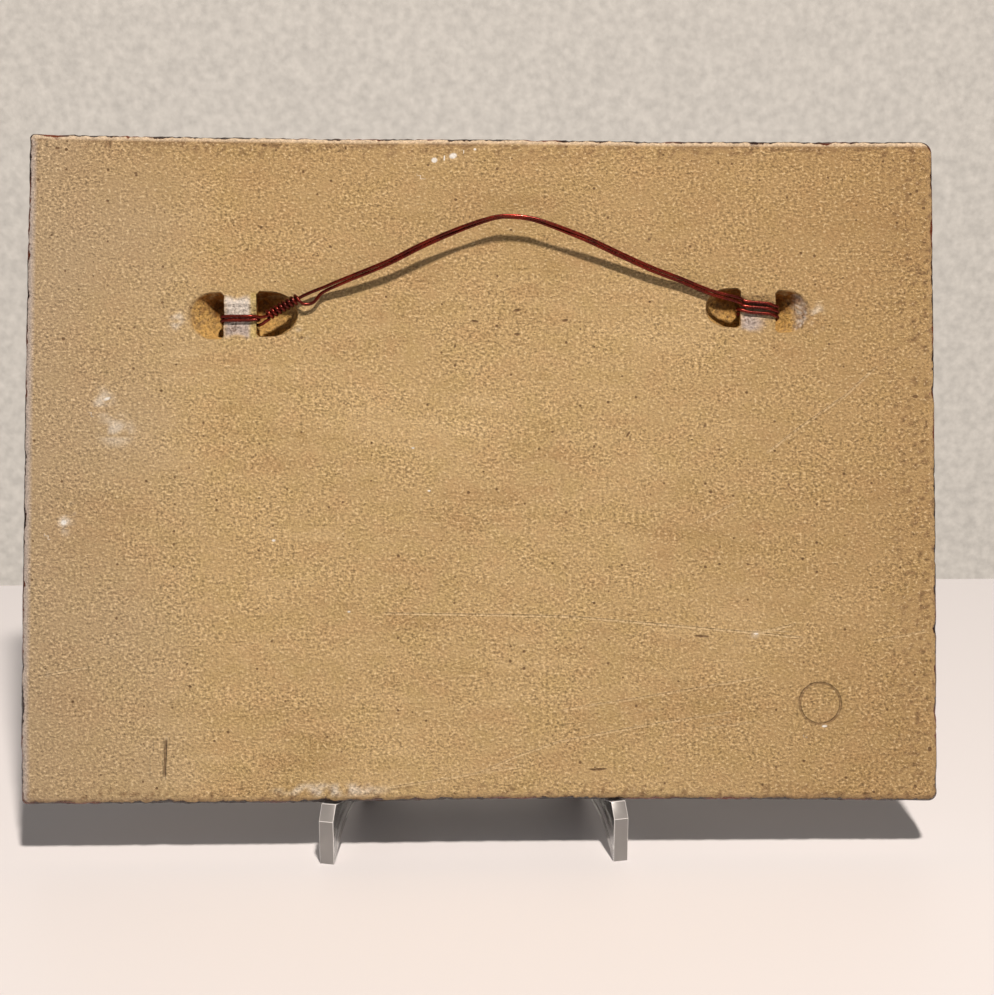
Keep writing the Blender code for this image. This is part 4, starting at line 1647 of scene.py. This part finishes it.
@dataclass(frozen=True)
class AcrylicFinish:
    """Clear cast acrylic, with its cut edges a little less clear."""

    name: str
    tint: Point = (0.985, 0.99, 0.985)
    haze: float = 0.03
    ior: float = 1.49
    scuff: float = 0.02
    clearness: float = 1.0
    mark_size: tuple[float, float, float] = (3.0, 0.6, 0.6)

    def make(self) -> bpy.types.Material:
        """The material of one kind of surface."""
        f = Finish(self.name)
        at = f.own_point()
        marks = f.noise(at, self.mark_size, 3.0, 0.6)
        f.surface(Base_Color=(*self.tint, 1.0), Transmission_Weight=self.clearness, IOR=self.ior)
        f.surface(Roughness=f.band(marks, 0.35, 0.85, self.haze, self.haze * 2.4),
                  Normal=f.bump(f.math("MULTIPLY", marks, self.scuff)))
        return f.material


@dataclass
class Easel:
    """The clear acrylic easel: two sides, toed in towards the back, and a bar between them."""

    stance: Stance
    spacing: float = 89.9
    offset: float = -3.45
    toe_foot: float = 0.8
    arch_span: float = 48.0
    arch_rise: float = 9.6
    arch_steps: int = 48
    side_depth: float = 79.0
    upright_height: float = 112.0
    upright_width: float = 11.0
    tip_steps: int = 24
    heel_height: float = 7.0
    back_hollow: float = 9.0
    back_steps: int = 32
    bar_height: float = 20.0
    bar_ground_gap: float = 16.0
    bar_from_back: float = 24.0
    edge_round: float = 0.45
    edge_segments: int = 3
    edge_least_turn: float = math.radians(35.0)
    flat_least: float = 0.99998

    def build(self) -> list[bpy.types.Object]:
        """Builds the sides and the bar and dresses them.

        Returns:
            The finished pieces.
        """
        face = AcrylicFinish("acrylic_face").make()
        edge = AcrylicFinish("acrylic_edge", (0.44, 0.42, 0.41), 0.3, scuff=0.004, clearness=0.5,
                             mark_size=(9.0, 9.0, 5.0)).make()
        # Painted highlight: the rounded arrises get a near-opaque pale finish in place of the glints on the
        # polished edges.
        painted_highlight = AcrylicFinish("acrylic_painted_highlight", (0.97, 0.95, 0.94), 0.2, scuff=0.0, clearness=0.05).make()
        pieces = [self._side("easel_side_left_polished", -1), self._side("easel_side_right_polished", 1),
                  self._bar("easel_cross_bar_polished")]
        for piece, node in zip(pieces, ("easel_side_left", "easel_side_right", "easel_cross_bar")):
            flats = np.array([polygon.normal for polygon in piece.data.polygons])
            broad = self._broad_faces(piece)
            apply_modifier(piece, "BEVEL", width=self.edge_round * MM, segments=self.edge_segments,
                           limit_method="ANGLE", angle_limit=self.edge_least_turn)
            shade(piece, 40.0)
            piece.data.materials.clear()
            for material in (face, edge, painted_highlight):
                piece.data.materials.append(material)
            for polygon in piece.data.polygons:
                facing = max(abs(polygon.normal.dot(normal)) for normal in broad)
                rounded = (flats @ np.array(polygon.normal)).max() < self.flat_least
                polygon.material_index = 2 if rounded else 0 if facing > self.flat_least else 1
            finish_piece(piece, Slot.ACRYLIC, node)
        return pieces

    def _broad_faces(self, piece: bpy.types.Object) -> list[Vector]:
        """Normals of a sheet's two broad faces."""
        faces = sorted(piece.data.polygons, key=lambda polygon: polygon.area)[-2:]
        return [polygon.normal.copy() for polygon in faces]

    def _arc(self, centre: Sequence[float], radius: float, start: float, end: float,
             steps: int) -> list[tuple[float, float]]:
        """Points of an arc between two angles.

        Args:
            centre: Middle of the arc's circle.
            radius: Its radius.
            start: First angle.
            end: Last angle.
            steps: Number of straight steps.

        Returns:
            The points.
        """
        angles = [start + (end - start) * index / steps for index in range(steps + 1)]
        return [(centre[0] + radius * math.cos(a), centre[1] + radius * math.sin(a)) for a in angles]

    def _profile(self) -> list[tuple[float, float]]:
        """Side view of an easel side as (depth from the toe, height), anticlockwise from the toe."""
        lean, stance = self.stance.lean, self.stance
        half = self.arch_span / 2
        radius = (half ** 2 + self.arch_rise ** 2) / (2 * self.arch_rise)
        opening = math.asin(half / radius)
        points = [(0.0, 0.0)]
        points += self._arc((self.toe_foot + half, self.arch_rise - radius), radius,
                            math.pi / 2 + opening, math.pi / 2 - opening, self.arch_steps)
        points += [(self.side_depth, 0.0), (self.side_depth, self.heel_height)]
        seat = stance.slab_thickness + (stance.seat_gap + stance.corner_reach()) / math.cos(lean)
        crest = stance.ledge_height + stance.lip_rise
        low = Vector((stance.ledge_lip + seat * math.cos(lean), crest - seat * math.sin(lean)))
        tip = low + Vector((math.sin(lean), math.cos(lean))) * self.upright_height
        top = tip + Vector((math.cos(lean), -math.sin(lean))) * self.upright_width
        heel = Vector((self.side_depth, self.heel_height))
        outward = Vector((top.y - heel.y, heel.x - top.x)).normalized()
        for index in range(1, self.back_steps):
            t = index / self.back_steps
            points.append(tuple(heel.lerp(top, t) - outward * self.back_hollow * 4 * t * (1 - t)))
        middle = tip.lerp(top, 0.5) - Vector((math.sin(lean), math.cos(lean))) * self.upright_width / 2
        points += self._arc(middle, self.upright_width / 2, -lean, math.pi - lean, self.tip_steps)
        points += [tuple(low), (stance.ledge_lip, crest), (0.0, stance.ledge_height)]
        return points

    def _side(self, name: str, side: int) -> bpy.types.Object:
        """One side of the easel: its profile as a face, extruded by the sheet's thickness.

        Args:
            name: Name of the object.
            side: -1 for the left side, 1 for the right one.

        Returns:
            The side.
        """
        toe_in, sheet = self.stance.toe_in, self.stance.sheet
        along = Vector((-side * math.sin(toe_in), math.cos(toe_in), 0.0)) / math.cos(toe_in)
        across = Vector((math.cos(toe_in), side * math.sin(toe_in), 0.0))
        front = Vector((self.offset + side * self.spacing / 2, self.stance.toe_y(), 0.0))
        outline = [(front - across * sheet / 2 + along * depth + Vector((0.0, 0.0, height))) * MM
                   for depth, height in self._profile()]
        piece = mesh_object(name, outline, [range(len(outline))])
        thick = across * sheet * MM
        edit(piece, lambda: bpy.ops.mesh.select_all(action="SELECT"),
             lambda: bpy.ops.mesh.extrude_region_move(TRANSFORM_OT_translate={"value": tuple(thick)}))
        face_outwards(piece)
        return piece

    def _bar(self, name: str) -> bpy.types.Object:
        """The bar between the sides, its ends cut to their toe-in."""
        deselect_all()
        bpy.ops.mesh.primitive_cube_add(size=1.0)
        bar = bpy.context.object
        bar.name = name
        places = places_of(bar)
        toe_in, sheet = self.stance.toe_in, self.stance.sheet
        depth = self.side_depth - self.bar_from_back + (places[:, 1] + 0.5) * sheet
        reach = (self.spacing / 2 - depth * math.tan(toe_in)
                 - (sheet / 2 + self.stance.seat_gap) / math.cos(toe_in))
        height = self.bar_ground_gap + (places[:, 2] + 0.5) * self.bar_height
        x = self.offset + 2 * places[:, 0] * reach
        set_places(bar, np.column_stack((x, self.stance.toe_y() + depth, height)) * MM)
        return bar


# Room and camera


@dataclass(frozen=True)
class PlainFinish:
    """A plain matt surface for the floor and the wall behind."""

    name: str
    colour: Point
    roughness: float
    dimple: float = 0.0
    dimple_size: float = 12.0
    glow: Point = (0.0, 0.0, 0.0)
    glow_grain: float = 0.0

    def make(self) -> bpy.types.Material:
        """The material."""
        f = Finish(self.name)
        dimples = f.noise(f.own_point(), self.dimple_size, 2.0, 0.5)
        grain = f.math("MULTIPLY", f.math("SUBTRACT", dimples, 0.5), self.glow_grain)
        f.surface(Base_Color=(*self.colour, 1.0), Roughness=self.roughness,
                  Emission_Color=(*self.glow, 1.0), Emission_Strength=f.math("ADD", grain, 1.0),
                  Normal=f.bump(f.math("MULTIPLY", dimples, self.dimple)))
        return f.material


@dataclass(frozen=True)
class Lamp:
    """A round area light: its place, diameter in metres, power in watts and colour."""

    name: str
    place: Point
    size: float
    power: float
    colour: Point


@dataclass
class Studio:
    """A pale floor and wall, soft lights and the camera."""

    floor_finish: PlainFinish = PlainFinish("floor_white", (0.815, 0.795, 0.82), 0.45)
    wall_finish: PlainFinish = PlainFinish("wall_pale", (0.62, 0.62, 0.61), 0.85, dimple=1.2,
                                           glow=(0.45, 0.395, 0.338), glow_grain=0.7)
    lamps: tuple[Lamp, ...] = (
        Lamp("key", (0.22, -0.90, 1.72), 0.15, 42.5, (1.0, 0.90, 0.80)),
        Lamp("window", (-1.7, -0.9, 0.75), 1.3, 2.0, (0.72, 0.84, 1.0)),
        Lamp("fill", (0.9, -1.9, 1.5), 1.6, 0.3, (1.0, 0.97, 0.92)),
    )
    lamp_target: Point = (0.0, 0.0, 0.1)
    room_colour: Point = (0.82, 0.87, 0.95)
    room_strength: float = 0.04
    floor_reach: float = 3.0
    floor_end: float = 0.2331
    wall_y: float = 2.2
    wall_low: float = -2.0
    wall_top: float = 3.2
    eye: Point = (-0.00864, -0.53528, 0.25426)
    forward: Point = (0.02357, 0.96296, -0.26858)
    right: Point = (0.99971, -0.02426, 0.00075)
    lens: float = 64.46
    sensor: float = 36.0

    def build(self) -> None:
        """Builds the floor, the wall, the lights and the camera."""
        reach, near, far = self.floor_reach, self.floor_end - self.floor_reach, self.floor_end
        self._plane("floor", [(-reach, near, 0.0), (reach, near, 0.0), (reach, far, 0.0), (-reach, far, 0.0)],
                    self.floor_finish)
        far, low, top = self.wall_y, self.wall_low, self.wall_top
        self._plane("wall", [(-reach, far, low), (reach, far, low), (reach, far, top), (-reach, far, top)],
                    self.wall_finish)
        for lamp in self.lamps:
            self._light(lamp)
        world = bpy.data.worlds.new("room")
        world.use_nodes = True
        background = world.node_tree.nodes["Background"]
        background.inputs["Color"].default_value = (*self.room_colour, 1.0)
        background.inputs["Strength"].default_value = self.room_strength
        bpy.context.scene.world = world
        bpy.context.scene.view_settings.view_transform = "Standard"
        self._camera()

    def _plane(self, name: str, corners: Sequence[Point], finish: PlainFinish) -> None:
        """Adds a flat part of the room.

        Args:
            name: Name of the object.
            corners: Its four corners, in order.
            finish: What it is made of.
        """
        plane = mesh_object(name, corners, [(0, 1, 2, 3)])
        plane.data.materials.append(finish.make())

    def _light(self, lamp: Lamp) -> None:
        """Adds a round area light that faces the slab's middle."""
        data = bpy.data.lights.new(lamp.name, "AREA")
        data.shape = "DISK"
        data.size = lamp.size
        data.energy = lamp.power
        data.color = lamp.colour
        light = bpy.data.objects.new(lamp.name, data)
        light.location = lamp.place
        aim = Vector(self.lamp_target) - Vector(lamp.place)
        light.rotation_euler = aim.to_track_quat("-Z", "Y").to_euler()
        bpy.context.scene.collection.objects.link(light)

    def _camera(self) -> None:
        """Adds the camera, at the place and angle worked out from the slab's outline."""
        data = bpy.data.cameras.new("camera")
        data.lens = self.lens
        data.sensor_width = self.sensor
        data.sensor_fit = "HORIZONTAL"
        forward = Vector(self.forward).normalized()
        right = Vector(self.right)
        right = (right - forward * right.dot(forward)).normalized()
        turn = Matrix((right, right.cross(forward), -forward)).transposed()
        camera = bpy.data.objects.new("camera", data)
        camera.matrix_world = Matrix.LocRotScale(Vector(self.eye), turn.to_quaternion(), None)
        bpy.context.scene.collection.objects.link(camera)
        bpy.context.scene.camera = camera


def main() -> None:
    """Builds the plaque, its wire, the easel and the studio."""
    logging.basicConfig(level=logging.INFO, format="%(name)s: %(message)s")
    stance = Stance()
    plaque = Plaque(stance)
    plaque.build()
    HangingWire(stance, plaque).build()
    Easel(stance).build()
    Studio().build()


if __name__ == "__main__":
    main()
